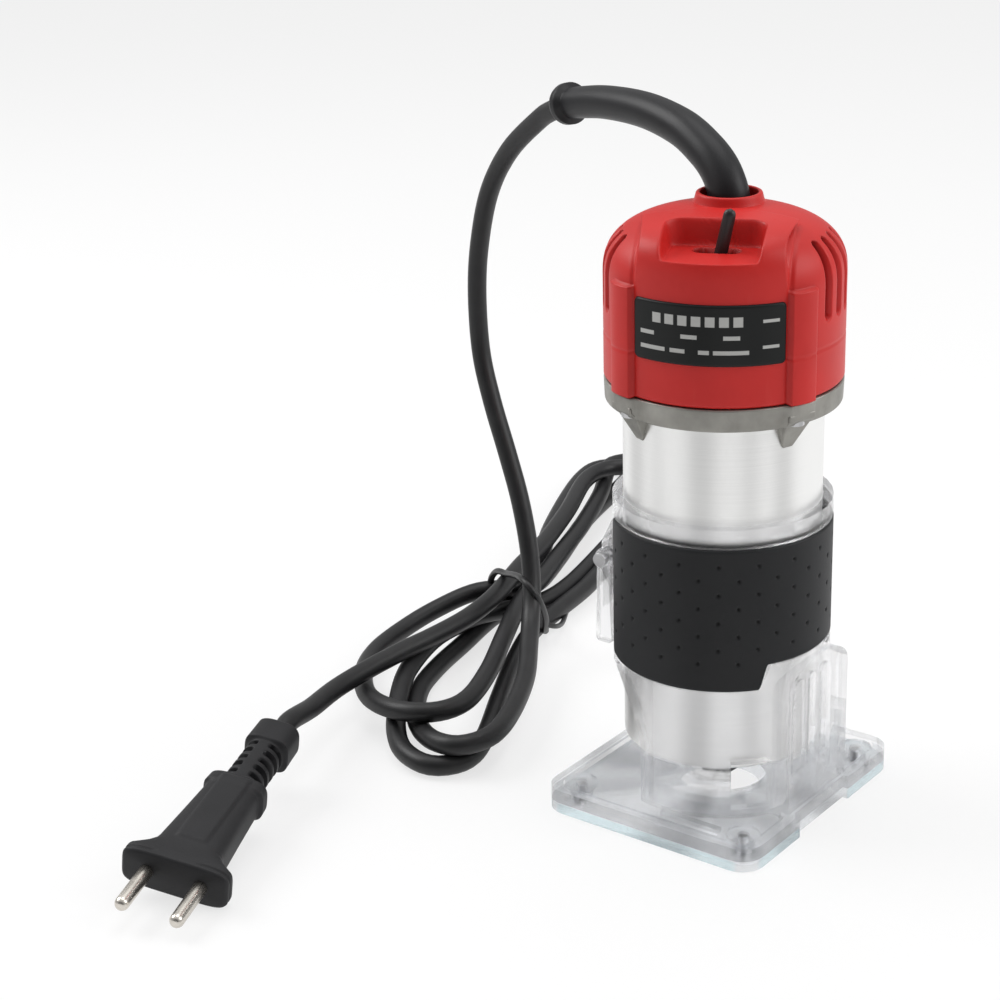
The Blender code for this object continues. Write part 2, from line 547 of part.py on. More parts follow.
def build_housing(motor):
    boss_top = RETAINER_LOW - GAP
    seat = LOWER_BEARING_R + GAP
    outline = [
        (NOSE_R + 2 * MM, TUBE_LOW), (TUBE_R, TUBE_LOW), (TUBE_R, COLLAR_LOW), (COLLAR_R, COLLAR_LOW),
        (COLLAR_R, COLLAR_HIGH), (TUBE_INSIDE_R, COLLAR_HIGH), (TUBE_INSIDE_R, SEAT_LOW),
        (SEAT_BOSS_R, SEAT_LOW), (SEAT_BOSS_R, boss_top), (seat, boss_top), (seat, SEAT_LOW - GAP),
        (NOSE_R + 2 * MM, SEAT_LOW - GAP),
    ]
    housing = add_mesh("motor_housing", turned(outline, FINE), ALUMINIUM, motor)
    half = BOSS_WIDE / 2
    lug = [(-BOSS_R, COLLAR_HIGH), (-BOSS_R, LUG_LOW), (-TUBE_R + 0.4 * MM, GUSSET_LOW), (-TUBE_R + 0.4 * MM, COLLAR_HIGH)]
    lugs = [turn(upright_x(lug, -half, half), a) for a in BOSS_ANGLES]
    combine(housing, "UNION", gather(lugs))
    holes = []
    for angle in BOSS_ANGLES:
        at = Vector((math.sin(angle), -math.cos(angle))) * CAP_SCREW_AT
        low = COLLAR_LOW
        outline = [
            (0, GUSSET_LOW - MM), (CAP_SCREW_HEAD_R + GAP, GUSSET_LOW - MM), (CAP_SCREW_HEAD_R + GAP, low + 3 * MM),
            (CAP_SCREW_R + GAP, low + 3 * MM), (CAP_SCREW_R + GAP, COLLAR_HIGH + MM), (0, COLLAR_HIGH + MM),
        ]
        holes.append(turned(outline, COARSE, at.x, at.y))
    combine(housing, "DIFFERENCE", gather(holes))
    taps = [rod(1.8 * MM, SEAT_LOW + 2 * MM, boss_top + MM, 12, sx * RETAINER_SCREW_AT) for sx in (1, -1)]
    combine(housing, "DIFFERENCE", gather(taps))


def cap_profile(wall=0.0):
    """(radius, height) from the rim up to the crown: a straight wall, then a rounded shoulder."""
    side = COLLAR_R - wall
    crown = CAP_TOP - wall - CAP_SHOULDER
    points = [(side, CAP_LOW)]
    for turn_angle in spread(0, math.pi / 2, 7):
        radius = side * math.cos(turn_angle) ** (2 / CAP_CURVE)
        height = CAP_SHOULDER + crown * math.sin(turn_angle) ** (2 / CAP_CURVE)
        points.append((radius if turn_angle < math.pi / 2 - 1e-6 else 0.0, height))
    return points


def build_cap(motor):
    shell = cap_profile() + cap_profile(CAP_WALL)[::-1]
    cap = add_mesh("motor_cap", turned(shell, FINE), RED, motor)
    floor = RECESS_FLOOR - RECESS_WALL
    cheek = RECESS_HALF + RECESS_WALL
    pocket = add_mesh("pocket", block(-cheek, cheek, -COLLAR_R, -RECESS_BACK + RECESS_WALL, floor, CAP_TOP), RED, motor)
    combine(pocket, "INTERSECT", turned([(0, CAP_LOW)] + cap_profile(0.4 * MM), FINE))
    inner = bmesh.new()
    inner.from_mesh(pocket.data)
    bpy.data.objects.remove(pocket)
    combine(cap, "UNION", inner)
    half = BOSS_WIDE / 2
    bosses = []
    for angle in BOSS_ANGLES:
        outline = [(-half, -BOSS_R), (half, -BOSS_R), (half, -(BOSS_R - BOSS_DEEP)), (-half, -(BOSS_R - BOSS_DEEP))]
        bosses.append(turn(prism(outline, CAP_LOW, CAP_BOSS_HIGH), angle))
    combine(cap, "UNION", gather(bosses))
    combine(cap, "UNION", rod(NECK_R, NECK_LOW, NECK_HIGH, MEDIUM, 0, NECK_Y))
    posts = [rod(POST_R, ANCHOR_HIGH - ANCHOR_THICK, CAP_TOP - CAP_WALL + MM, 12, sx * POST_X, NECK_Y) for sx in (1, -1)]
    combine(cap, "UNION", gather(posts))
    recess = block(-RECESS_HALF, RECESS_HALF, -COLLAR_R - 2 * MM, -RECESS_BACK, RECESS_FLOOR, CAP_TOP + MM)
    combine(cap, "DIFFERENCE", recess)
    cuts = [rod(NECK_HOLE_R, NECK_LOW - MM, NECK_HIGH + MM, MEDIUM, 0, NECK_Y)]
    slot = rounded_rectangle(SLOT_LONG / 2, SLOT_WIDE / 2, SLOT_WIDE / 2 - 0.1 * MM)
    cuts.append(prism([(x, y - SWITCH_Y) for x, y in slot], floor - MM, RECESS_FLOOR + MM))
    for side in (1, -1):
        for k in range(VENT_COUNT):
            vent = block(-VENT_WIDE / 2, VENT_WIDE / 2, -COLLAR_R - 3 * MM, -24 * MM, VENT_LOW, VENT_HIGH)
            cuts.append(turn(vent, side * (VENT_FIRST + VENT_PITCH * k)))
    for angle in BOSS_ANGLES:
        at = Vector((math.sin(angle), -math.cos(angle))) * CAP_SCREW_AT
        cuts.append(rod(CAP_SCREW_R + GAP, CAP_LOW - MM, CAP_SCREW_HIGH + MM, COARSE, at.x, at.y))
    for side in (1, -1):
        low, high = ANCHOR_HIGH - ANCHOR_THICK - MM, CAP_TOP - CAP_WALL - 1.5 * MM
        cuts.append(rod(1.5 * MM, low, high, 12, side * POST_X, NECK_Y))
    combine(cap, "DIFFERENCE", gather(cuts))


def build_cap_screws(motor):
    for number, angle in enumerate(BOSS_ANGLES, 1):
        at = Vector((math.sin(angle), -math.cos(angle))) * CAP_SCREW_AT
        neck = COLLAR_LOW + 3 * MM - GAP
        low = neck - CAP_SCREW_HEAD_THICK
        outline = [
            (0, low), (CAP_SCREW_HEAD_R, low), (CAP_SCREW_HEAD_R, neck), (CAP_SCREW_R, neck),
            (CAP_SCREW_R, CAP_SCREW_HIGH), (0, CAP_SCREW_HIGH),
        ]
        add_mesh(f"cap_screw_{number}", turned(outline, COARSE, at.x, at.y), STEEL, motor)


def build_rating_plate(motor):
    inside = COLLAR_R + GAP
    shape = wrapped(
        spread(-PLATE_HALF, PLATE_HALF, 17), lambda a: PLATE_LOW, lambda a: PLATE_HIGH, inside, inside + PLATE_THICK
    )
    add_mesh("rating_plate", shape, BLACK, motor)


def build_switch(motor):
    top = RECESS_FLOOR - RECESS_WALL - GAP
    near, far = -SWITCH_Y - SWITCH_DEEP / 2, -SWITCH_Y + SWITCH_DEEP / 2
    shape = block(-SWITCH_X / 2, SWITCH_X / 2, near, far, top - SWITCH_TALL, top)
    body = add_mesh("switch_body", shape, BLACK, motor)
    near, far = -SWITCH_Y - SLOT_WIDE / 2, -SWITCH_Y + SLOT_WIDE / 2
    well = block(-SLOT_LONG / 2, SLOT_LONG / 2, near, far, top - 9.5 * MM, top + MM)
    combine(body, "DIFFERENCE", well)
    pivot_place = Vector((0, -SWITCH_Y, top - TOGGLE_PIVOT_DROP))
    pivot = bpy.data.objects.new("toggle_pivot", None)
    bpy.context.collection.objects.link(pivot)
    pivot.parent = motor
    pivot.location = pivot_place
    pivot.rotation_euler = (0, TOGGLE_TILT, 0)
    low, high = -2.4 * MM, TOGGLE_REACH
    outline = [(0, low), (TOGGLE_R * 0.8, low), (TOGGLE_R, low + 0.8 * MM), (TOGGLE_R, high - 1.6 * MM)]
    outline += [(TOGGLE_R * 0.7, high - 0.5 * MM), (0, high)]
    add_mesh("switch_lever", turned(outline, COARSE), BLACK, pivot)


def build_bearings(motor):
    low = SEAT_LOW
    race = ring(LOWER_BEARING_BORE_R, LOWER_BEARING_R, low, low + LOWER_BEARING_THICK)
    add_mesh("lower_bearing", race, STEEL, motor)
    race = ring(UPPER_BEARING_BORE_R, UPPER_BEARING_R, UPPER_BEARING_LOW, UPPER_BEARING_LOW + UPPER_BEARING_THICK)
    add_mesh("upper_bearing", race, STEEL, motor)
    retainer = add_mesh(
        "bearing_retainer",
        ring(SHAFT_R + MM, SEAT_BOSS_R - 0.6 * MM, RETAINER_LOW, RETAINER_LOW + RETAINER_THICK),
        STEEL,
        motor,
    )
    holes = [rod(1.5 * MM + GAP, RETAINER_LOW - MM, RETAINER_LOW + 4 * MM, 12, sx * RETAINER_SCREW_AT) for sx in (1, -1)]
    combine(retainer, "DIFFERENCE", gather(holes))
    for number, side in enumerate((1, -1), 1):
        head = RETAINER_LOW + RETAINER_THICK + GAP
        low = SEAT_LOW + 3 * MM
        crown = head + 2 * MM
        outline = [(0, low), (1.5 * MM, low), (1.5 * MM, head), (2.8 * MM, head), (2.8 * MM, crown), (0, crown)]
        screw = turned(outline, 12, side * RETAINER_SCREW_AT)
        add_mesh(f"retainer_screw_{number}", screw, STEEL, motor)


def build_bridge(motor):
    """The plastic bar that holds the upper bearing across the housing's mouth."""
    reach = math.sqrt((TUBE_INSIDE_R - GAP) ** 2 - BRIDGE_HALF**2)
    bar = block(-reach, reach, -BRIDGE_HALF, BRIDGE_HALF, BRIDGE_HIGH - 4 * MM, BRIDGE_HIGH)
    bridge = add_mesh("bearing_bridge", bar, BLACK, motor)
    combine(bridge, "UNION", rod(BRIDGE_R, BRIDGE_LOW, BRIDGE_HIGH + 0.1 * MM, MEDIUM))
    seat_low = UPPER_BEARING_LOW - GAP
    seat = UPPER_BEARING_R + GAP
    through = SHAFT_R + MM
    outline = [(0, BRIDGE_LOW - MM), (through, BRIDGE_LOW - MM), (through, seat_low), (seat, seat_low)]
    outline += [(seat, BRIDGE_HIGH + MM), (0, BRIDGE_HIGH + MM)]
    combine(bridge, "DIFFERENCE", turned(outline, MEDIUM))


def build_stator(motor):
    pole_r = CORE_R + AIR_GAP
    steps = 60

    def inner(k):
        angle = math.tau * k / steps
        near_x = min(abs(angle - math.pi / 2), abs(angle - 1.5 * math.pi))
        return pole_r if near_x < POLE_HALF + 0.01 else YOKE_R

    add_mesh(
        "stator_core", cogged(lambda k: TUBE_INSIDE_R - GAP, inner, STATOR_LOW, STATOR_HIGH, steps), STEEL, motor
    )
    for number, centre in enumerate((math.pi / 2, 1.5 * math.pi), 1):
        low, high = STATOR_LOW - COIL_OVERHANG, STATOR_HIGH + COIL_OVERHANG
        angles = spread(centre - COIL_HALF, centre + COIL_HALF, 25)
        coil = wrapped(angles, lambda a: low, lambda a: high, pole_r + MM, YOKE_R - GAP)
        made = add_mesh(f"field_coil_{number}", coil, COPPER, motor)
        clear = POLE_HALF + math.radians(7)
        angles = spread(centre - clear, centre + clear, 15)
        hole = wrapped(angles, lambda a: STATOR_LOW - GAP, lambda a: STATOR_HIGH + GAP, pole_r - MM, YOKE_R + MM)
        combine(made, "DIFFERENCE", hole)


def build_brushes(motor):
    """Two carbon brushes on +-Y, each in its holder with a coil spring behind it."""
    wide, tall = BRUSH_WIDE / 2 + GAP, BRUSH_TALL / 2 + GAP
    for number, side in enumerate((0.0, math.pi), 1):
        across, up = wide + HOLDER_WALL, tall + HOLDER_WALL
        holder = block(-across, across, -HOLDER_TO, -HOLDER_FROM, BRUSH_Z - up, BRUSH_Z + up)
        made = add_mesh(f"brush_holder_{number}", turn(holder, side), BRASS, motor)
        bore = block(-wide, wide, -HOLDER_TO + HOLDER_WALL, -HOLDER_FROM + MM, BRUSH_Z - tall, BRUSH_Z + tall)
        combine(made, "DIFFERENCE", turn(bore, side))
        inner = COMMUTATOR_R + 0.4 * MM
        across, up = BRUSH_WIDE / 2, BRUSH_TALL / 2
        brush = block(-across, across, -inner - BRUSH_LONG, -inner, BRUSH_Z - up, BRUSH_Z + up)
        add_mesh(f"carbon_brush_{number}", turn(brush, side), CARBON, motor)
        start = inner + BRUSH_LONG + GAP + SPRING_WIRE_R
        end = HOLDER_TO - HOLDER_WALL - GAP - SPRING_WIRE_R
        route = []
        for k in range(SPRING_TURNS * 8 + 1):
            angle = math.tau * k / 8
            along = -(start + (end - start) * k / (SPRING_TURNS * 8))
            place = Vector((SPRING_R * math.cos(angle), along, BRUSH_Z + SPRING_R * math.sin(angle)))
            route.append(Matrix.Rotation(MOTOR_TURN + side, 3, "Z") @ place)
        tube(f"brush_spring_{number}", route, SPRING_WIRE_R, STEEL, motor, sides=1)


def build_armature(motor):
    """Everything that spins with the spindle."""
    bearing_r = LOWER_BEARING_BORE_R - GAP
    outline = [
        (NOSE_BORE_R, NOSE_LOW), (NOSE_R, NOSE_LOW), (NOSE_R, TUBE_LOW + 3 * MM), (bearing_r + MM, TUBE_LOW + 3 * MM),
        (bearing_r + MM, SEAT_LOW - GAP), (bearing_r, SEAT_LOW - GAP), (bearing_r, RETAINER_LOW), (SHAFT_R, RETAINER_LOW),
        (SHAFT_R, UPPER_BEARING_LOW - GAP), (UPPER_BEARING_BORE_R - GAP, UPPER_BEARING_LOW - GAP),
        (UPPER_BEARING_BORE_R - GAP, SHAFT_TOP), (0, SHAFT_TOP), (0, COLLET_HIGH + MM), (NOSE_BORE_R, COLLET_HIGH + MM),
    ]
    add_mesh("spindle_shaft", turned(outline), STEEL, motor)
    bore = SHAFT_R + GAP
    fan = add_mesh("cooling_fan", ring(bore, FAN_R, FAN_LOW, FAN_LOW + 1.5 * MM, FINE), BLACK, motor)
    blades = cogged(
        lambda k: FAN_R - MM if k % 4 == 0 else SHAFT_R + 4 * MM, lambda k: bore, FAN_LOW + MM, FAN_HIGH, FAN_BLADES * 4
    )
    combine(fan, "UNION", blades)

    slot_floor = CORE_R - CORE_SLOT_DEPTH
    core = cogged(lambda k: slot_floor if k % 4 == 0 else CORE_R, lambda k: bore, CORE_LOW, CORE_HIGH, CORE_SLOTS * 4)
    add_mesh("armature_core", core, STEEL, motor)
    low, high = CORE_LOW - WINDING_OVERHANG, CORE_HIGH + WINDING_OVERHANG
    for name, first, last in (("winding_lower", low, CORE_LOW - GAP), ("winding_upper", CORE_HIGH + GAP, high)):
        rim, bulge = CORE_R - 2 * MM, CORE_R - MM
        outline = [(bore, first), (rim, first), (bulge, (first + last) / 2), (rim, last), (bore, last)]
        add_mesh(name, turned(outline), COPPER, motor)
    bars = cogged(
        lambda k: COMMUTATOR_R - 0.5 * MM if k % 2 else COMMUTATOR_R,
        lambda k: bore,
        COMMUTATOR_LOW,
        COMMUTATOR_HIGH,
        BARS * 2,
    )
    add_mesh("commutator", bars, COPPER, motor)
    outline = [(COLLET_BORE_R, COLLET_LOW), (COLLET_R, COLLET_LOW), (COLLET_R, COLLET_HIGH), (COLLET_BORE_R, COLLET_HIGH)]
    add_mesh("collet", turned(outline), STEEL, motor)
    mouth = COLLET_R + GAP
    hexagon = add_mesh("collet_nut", rod(NUT_R, NUT_LOW, NUT_HIGH, MEDIUM), DARK_STEEL, motor)
    flats = block(-NUT_R - MM, NUT_R + MM, NUT_R * 0.88, NUT_R + MM, NUT_LOW - MM, NUT_HIGH - 4 * MM)
    cuts = [turn(flats.copy(), math.pi / 3 * k) for k in range(6)]
    flats.free()
    for cut in cuts:
        combine(hexagon, "DIFFERENCE", cut)
    outline = [(0, NUT_LOW - MM), (mouth, NUT_LOW - MM), (mouth, NOSE_LOW - GAP), (NOSE_R + GAP, NOSE_LOW - GAP)]
    outline += [(NOSE_R + GAP, NUT_HIGH + MM), (0, NUT_HIGH + MM)]
    combine(hexagon, "DIFFERENCE", turned(outline))


def build_cable_clamp(motor):
    top = ANCHOR_HIGH - ANCHOR_THICK - GAP
    low = top - CLAMP_BAR_THICK
    deep = CLAMP_BAR_DEEP / 2
    shape = block(-CLAMP_BAR_HALF, CLAMP_BAR_HALF, NECK_Y - deep, NECK_Y + deep, low, top)
    bar = add_mesh("cable_clamp", shape, BLACK, motor)
    holes = [rod(1.5 * MM, low - MM, top + MM, 12, sx * POST_X, NECK_Y) for sx in (1, -1)]
    combine(bar, "DIFFERENCE", gather(holes))
    for number, side in enumerate((1, -1), 1):
        head = low - GAP
        high = CAP_TOP - CAP_WALL - 2.5 * MM
        under = head - 2 * MM
        outline = [(0, under), (2.6 * MM, under), (2.6 * MM, head), (1.2 * MM, head), (1.2 * MM, high), (0, high)]
        screw = turned(outline, 12, side * POST_X, NECK_Y)
        add_mesh(f"cable_clamp_screw_{number}", screw, STEEL, motor)


# Cord

def neck_place(height):
    return Matrix.Rotation(MOTOR_TURN, 3, "Z") @ Vector((0, NECK_Y, height))


def build_strain_relief(motor):
    """A tapered rubber sleeve from its anchor under the cap to a lip where the cord leaves it."""
    anchor_low = ANCHOR_HIGH - ANCHOR_THICK
    chosen = [neck_place(anchor_low), neck_place(ANCHOR_HIGH), neck_place(203 * MM)]
    lean = ((-4.7, 8.7, 207.2), (-9.0, 10.8, 212.6), (-16, 13.8, 217.2), (-28, 18.8, 221.9), (-46.7, 26.3, 224.4))
    lean += ((-67.8, 34.7, 223.6), (-84, 41.2, 221), (-92.9, 44.8, 218.9))
    chosen += [Vector(point) * MM for point in lean]
    route = smooth_route(chosen[1:], 4 * MM)
    count = len(route)
    radii = [1 + (RELIEF_END_R / RELIEF_R - 1) * max(0, k - 3) / (count - 4) for k in range(count)]
    lip_start = route[-1].lerp(route[-2], RELIEF_LIP_LONG / (route[-1] - route[-2]).length)
    step = (route[-1] - lip_start).normalized() * 0.1 * MM
    route = route[:-1] + [lip_start, lip_start + step, route[-1]]
    radii = radii[:-1] + [radii[-1], RELIEF_LIP_R / RELIEF_R, RELIEF_LIP_R / RELIEF_R]
    anchor = [chosen[0], chosen[1] - Vector((0, 0, 0.05 * MM))]
    route = anchor + route
    radii = [ANCHOR_R / RELIEF_R] * 2 + radii
    tube("strain_relief", route, RELIEF_R, RUBBER, motor, radii)
    return route[-1], (route[-1] - route[-2]).normalized()


def hank_outline():
    """The outer shape of the coiled length, with faces where the lead and the tail meet it."""
    right = [(-112, 28), (-123, 60), (-123.5, 78), (-129, 122), (-141, 160), (-158, 198), (-178, 228)]
    far = [(-192, 239), (-206, 239), (-214, 230), (-214, 211)]
    left = [(-197, 168), (-174, 122), (-147, 80), (-145.5, 64), (-167, 40), (-169, 4), (-160, -29)]
    near = [(-142, -24), (-134, -42), (-112, -53), (-88, -53), (-71, -43), (-68, -26), (-76, 0), (-87, 24), (-91, 40.5)]
    return [(x * MM, y * MM) for x, y in right + far + left + near]


def edge_frame(first, second):
    """The middle of an outline's edge and its outward direction."""
    a, b = Vector((*first, 0)), Vector((*second, 0))
    along = (b - a).normalized()
    return (a + b) / 2, Vector((along.y, -along.x, 0))


def build_cord(motor, relief_end, relief_head):
    outline = hank_outline()
    add_mesh("cord_hank", prism(outline, 0.2 * MM, HANK_HIGH), CORD_PVC)
    count = len(outline)
    middle, outward = edge_frame(outline[count - 1], outline[0])
    lead_foot = middle + outward * GAP + Vector((0, 0, 15 * MM))
    hang = ((-109, 51.2, 211), (-128.8, 59.1, 196.1), (-143, 64.8, 178.3), (-150.9, 68, 157.4), (-154.1, 69.3, 136.9))
    hang += ((-152.6, 68.7, 113.1), (-145.8, 65.9, 94.9), (-135.9, 62, 76), (-127.9, 58.8, 59.4), (-121.3, 55.9, 40.7))
    first = relief_end + relief_head * GAP
    lead = [first + relief_head * END_STRAIGHT] + [Vector(point) * MM for point in hang]
    lead += [lead_foot + outward * 14 * MM + Vector((-1.5, 0, 9)) * MM, lead_foot + outward * END_STRAIGHT]
    tube("cord_lead", [first, *smooth_route(lead, 9 * MM), lead_foot], CORD_R, CORD_PVC, motor)
    corner = next(k for k, point in enumerate(outline) if point == (-160 * MM, -29 * MM))
    middle, outward = edge_frame(outline[corner], outline[corner + 1])
    start = middle + outward * GAP + Vector((0, 0, 9 * MM))
    axis, back = plug_axis()
    rear = PLUG_TIP + axis * (back + GAP)
    bend = Vector((-141.5, -52, 11.5)) * MM
    tail = [start + outward * END_STRAIGHT, bend, rear + axis * 13 * MM, rear + axis * END_STRAIGHT]
    tube("cord_tail", [start, *smooth_route(tail, 9 * MM), rear], CORD_R, CORD_PVC)


def build_tie():
    """A band over the waist of the hank, standing on the floor at both sides."""
    outside = TIE_HALF + TIE_THICK
    high = HANK_HIGH + 0.5 * MM
    outline = [(-outside, GAP), (-TIE_HALF, GAP), (-TIE_HALF, high), (TIE_HALF, high), (TIE_HALF, GAP), (outside, GAP)]
    outline += [(outside, high + TIE_THICK), (-outside, high + TIE_THICK)]
    shape = upright_y(outline, -TIE_LONG / 2, TIE_LONG / 2)
    tie = add_mesh("cord_tie", shape, BLACK)
    tie.location = TIE_AT


# Plug

def plug_axis():
    """The direction from the pins back along the plug, and the plug's whole length."""
    rear = PIN_LONG + FLANGE_LONG + BODY_LONG + RIB_COUNT * RIB_PITCH + COLLAR_LONG
    return PLUG_HEAD.normalized(), rear


def plug_sections():
    """(distance from the face, half width, half thickness, squareness) of the moulded body."""
    wide, thick = PLUG_HALF_WIDE, PLUG_HALF_THICK
    neck = FLANGE_LONG + BODY_LONG
    sections = [
        (0, wide - MM, thick - MM, 4), (MM, wide, thick, 4), (FLANGE_LONG - 2.5 * MM, wide - 1.5 * MM, thick, 4),
        (FLANGE_LONG, wide - 5 * MM, thick, 4), (FLANGE_LONG + 4 * MM, wide * 0.64, thick, 4),
        (neck - 6 * MM, wide * 0.52, thick * 0.95, 4), (neck - 4.5 * MM, wide * 0.6, thick * 0.95, 4),
        (neck - 0.5 * MM, wide * 0.56, thick * 0.9, 4),
    ]
    for k in range(RIB_COUNT):
        at = neck + RIB_PITCH * k
        groove_r, rib_r = 4.9 * MM, 6.6 * MM
        sections += [(at, groove_r, groove_r, 2), (at + 1.7 * MM, groove_r, groove_r, 2)]
        if k < RIB_COUNT - 1:
            sections += [(at + 2 * MM, rib_r, rib_r, 2), (at + 4.1 * MM, rib_r, rib_r, 2)]
    collar = neck + RIB_PITCH * RIB_COUNT
    sections += [(collar, PLUG_COLLAR_R, PLUG_COLLAR_R * 0.9, 3)]
    sections += [(collar + COLLAR_LONG - MM, PLUG_COLLAR_R - 0.4 * MM, PLUG_COLLAR_R * 0.85, 3)]
    sections += [(collar + COLLAR_LONG, PLUG_COLLAR_R - 1.2 * MM, PLUG_COLLAR_R * 0.75, 3)]
    return sections


def lofted(sections, steps):
    """Superellipse rings along +Z, capped at both ends."""
    shape = bmesh.new()
    rings = []
    for height, half_x, half_y, squareness in sections:
        power = 2 / squareness
        loop = []
        for k in range(steps):
            angle = math.tau * (k + 0.5) / steps
            cosine, sine = math.cos(angle), math.sin(angle)
            x = half_x * math.copysign(abs(cosine) ** power, cosine)
            loop.append(shape.verts.new((x, half_y * math.copysign(abs(sine) ** power, sine), height)))
        rings.append(loop)
    for first, second in zip(rings, rings[1:]):
        for k in range(steps):
            n = (k + 1) % steps
            shape.faces.new((first[k], first[n], second[n], second[k]))
    shape.faces.new(rings[0])
    shape.faces.new(rings[-1])
    return shape


def build_plug():
    axis, _ = plug_axis()
    side = Vector((axis.y, -axis.x, 0)).normalized()
    up = axis.cross(side)
    turned_frame = Matrix((side, up, axis)).transposed().to_4x4()
    frame = frame_at("plug_frame", PLUG_TIP + axis * PIN_LONG, turned_frame @ Matrix.Rotation(PLUG_ROLL, 4, "Z"))
    add_mesh("plug_body", lofted(plug_sections(), 20), RUBBER, frame)
    for number, sign in enumerate((1, -1), 1):
        outline = [(0, -PIN_LONG), (PIN_R * 0.6, -PIN_LONG), (PIN_R, -PIN_LONG + 1.5 * MM), (PIN_R, -GAP), (0, -GAP)]
        add_mesh(f"plug_pin_{number}", turned(outline, COARSE, sign * PIN_SPREAD), STEEL, frame)


def main():
    for old in list(bpy.data.objects):
        bpy.data.objects.remove(old)
    build_sub_base()
    build_base()
    build_sleeve()
    build_clamp()
    motor = frame_at("motor_frame", Vector((0, 0, 0)), Matrix.Rotation(MOTOR_TURN, 4, "Z"))
    build_housing(motor)
    build_cap(motor)
    build_cap_screws(motor)
    build_rating_plate(motor)
    build_switch(motor)
    build_bearings(motor)
    build_bridge(motor)
    build_stator(motor)
    build_brushes(motor)
    build_armature(motor)
    build_cable_clamp(motor)
    relief_end, relief_head = build_strain_relief(motor)
    build_cord(motor, relief_end, relief_head)
    build_tie()
    build_plug()


main()
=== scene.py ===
"""Looks of the trim router: a fine surface and a worked-out finish for each piece that shows."""

import json
import math

import bmesh
import bpy
import numpy as np
from mathutils import Matrix, Vector

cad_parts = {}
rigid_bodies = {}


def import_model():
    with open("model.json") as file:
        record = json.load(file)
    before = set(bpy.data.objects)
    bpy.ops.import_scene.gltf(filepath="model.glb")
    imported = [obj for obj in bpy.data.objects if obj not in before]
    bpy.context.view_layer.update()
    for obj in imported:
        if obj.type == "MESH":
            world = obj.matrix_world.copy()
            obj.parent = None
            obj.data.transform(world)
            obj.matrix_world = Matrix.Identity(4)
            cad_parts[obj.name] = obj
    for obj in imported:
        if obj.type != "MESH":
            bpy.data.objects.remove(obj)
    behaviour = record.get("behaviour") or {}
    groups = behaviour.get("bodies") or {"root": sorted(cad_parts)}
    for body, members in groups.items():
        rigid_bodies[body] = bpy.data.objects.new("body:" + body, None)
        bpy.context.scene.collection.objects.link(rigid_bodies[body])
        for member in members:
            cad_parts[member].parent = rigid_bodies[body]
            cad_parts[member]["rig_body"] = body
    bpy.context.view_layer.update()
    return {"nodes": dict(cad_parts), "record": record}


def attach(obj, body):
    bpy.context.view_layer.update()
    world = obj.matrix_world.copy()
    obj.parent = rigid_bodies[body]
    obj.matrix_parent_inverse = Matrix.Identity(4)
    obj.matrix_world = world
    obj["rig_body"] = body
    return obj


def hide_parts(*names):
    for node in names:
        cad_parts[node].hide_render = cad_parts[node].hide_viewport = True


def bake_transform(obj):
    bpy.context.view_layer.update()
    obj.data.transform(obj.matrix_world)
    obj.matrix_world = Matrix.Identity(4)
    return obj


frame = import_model()

MM = 0.001
MOTOR_TURN = math.radians(23.85)
CORD_R = 3.65 * MM


# Camera

def build_camera():
    lens = bpy.data.cameras.new("camera")
    lens.sensor_width = 36
    lens.lens = 81.867
    lens.clip_start = 0.01
    camera = bpy.data.objects.new("camera", lens)
    bpy.context.collection.objects.link(camera)
    heading = Matrix.Rotation(math.radians(37.7289), 4, "Z")
    pitch = Matrix.Rotation(math.radians(90 - 20.9536), 4, "X")
    roll = Matrix.Rotation(math.radians(-1.6056), 4, "Z")
    camera.matrix_world = Matrix.Translation((0.36819, -0.59507, 0.37390)) @ heading @ pitch @ roll
    bpy.context.scene.camera = camera


# Meshes from arrays

def grid_faces(rows, columns, closed):
    """Four-cornered faces between neighbouring rows and columns of points, joined round where closed."""
    row = np.arange(rows - 1)[:, None]
    column = np.arange(columns if closed else columns - 1)[None, :]
    after = (column + 1) % columns
    here, above = row * columns, (row + 1) * columns
    corners = [here + column, here + after, above + after, above + column]
    return np.stack(np.broadcast_arrays(*corners), axis=-1).reshape(-1, 4)


def capped(grid, first=True, last=True):
    """The points and faces of a grid of rings, each ring closed, with a fan over the first ring and the last."""
    rows, columns = grid.shape[:2]
    points, faces = [grid.reshape(-1, 3)], grid_faces(rows, columns, True).tolist()
    for wanted, row, turned in ((first, 0, True), (last, rows - 1, False)):
        if not wanted:
            continue
        middle = rows * columns + len(points) - 1
        for k in range(columns):
            pair = [row * columns + k, row * columns + (k + 1) % columns]
            faces.append([*(pair[::-1] if turned else pair), middle])
        points.append(grid[row].mean(0)[None])
    return np.vstack(points), faces


def mesh_of(name, points, faces, smooth=True):
    """A mesh object from an array of points and lists of corner numbers."""
    mesh = bpy.data.meshes.new(name)
    mesh.from_pydata(np.asarray(points, float).reshape(-1, 3).tolist(), [], [list(face) for face in faces])
    mesh.validate()
    if smooth:
        mesh.shade_smooth()
    made = bpy.data.objects.new(name, mesh)
    bpy.context.collection.objects.link(made)
    return made


def outward(made):
    """Recalculates the normals so that they point out of a closed shape."""
    shape = bmesh.new()
    shape.from_mesh(made.data)
    bmesh.ops.remove_doubles(shape, verts=shape.verts, dist=1e-6)
    bmesh.ops.recalc_face_normals(shape, faces=shape.faces)
    shape.to_mesh(made.data)
    shape.free()


# Cord

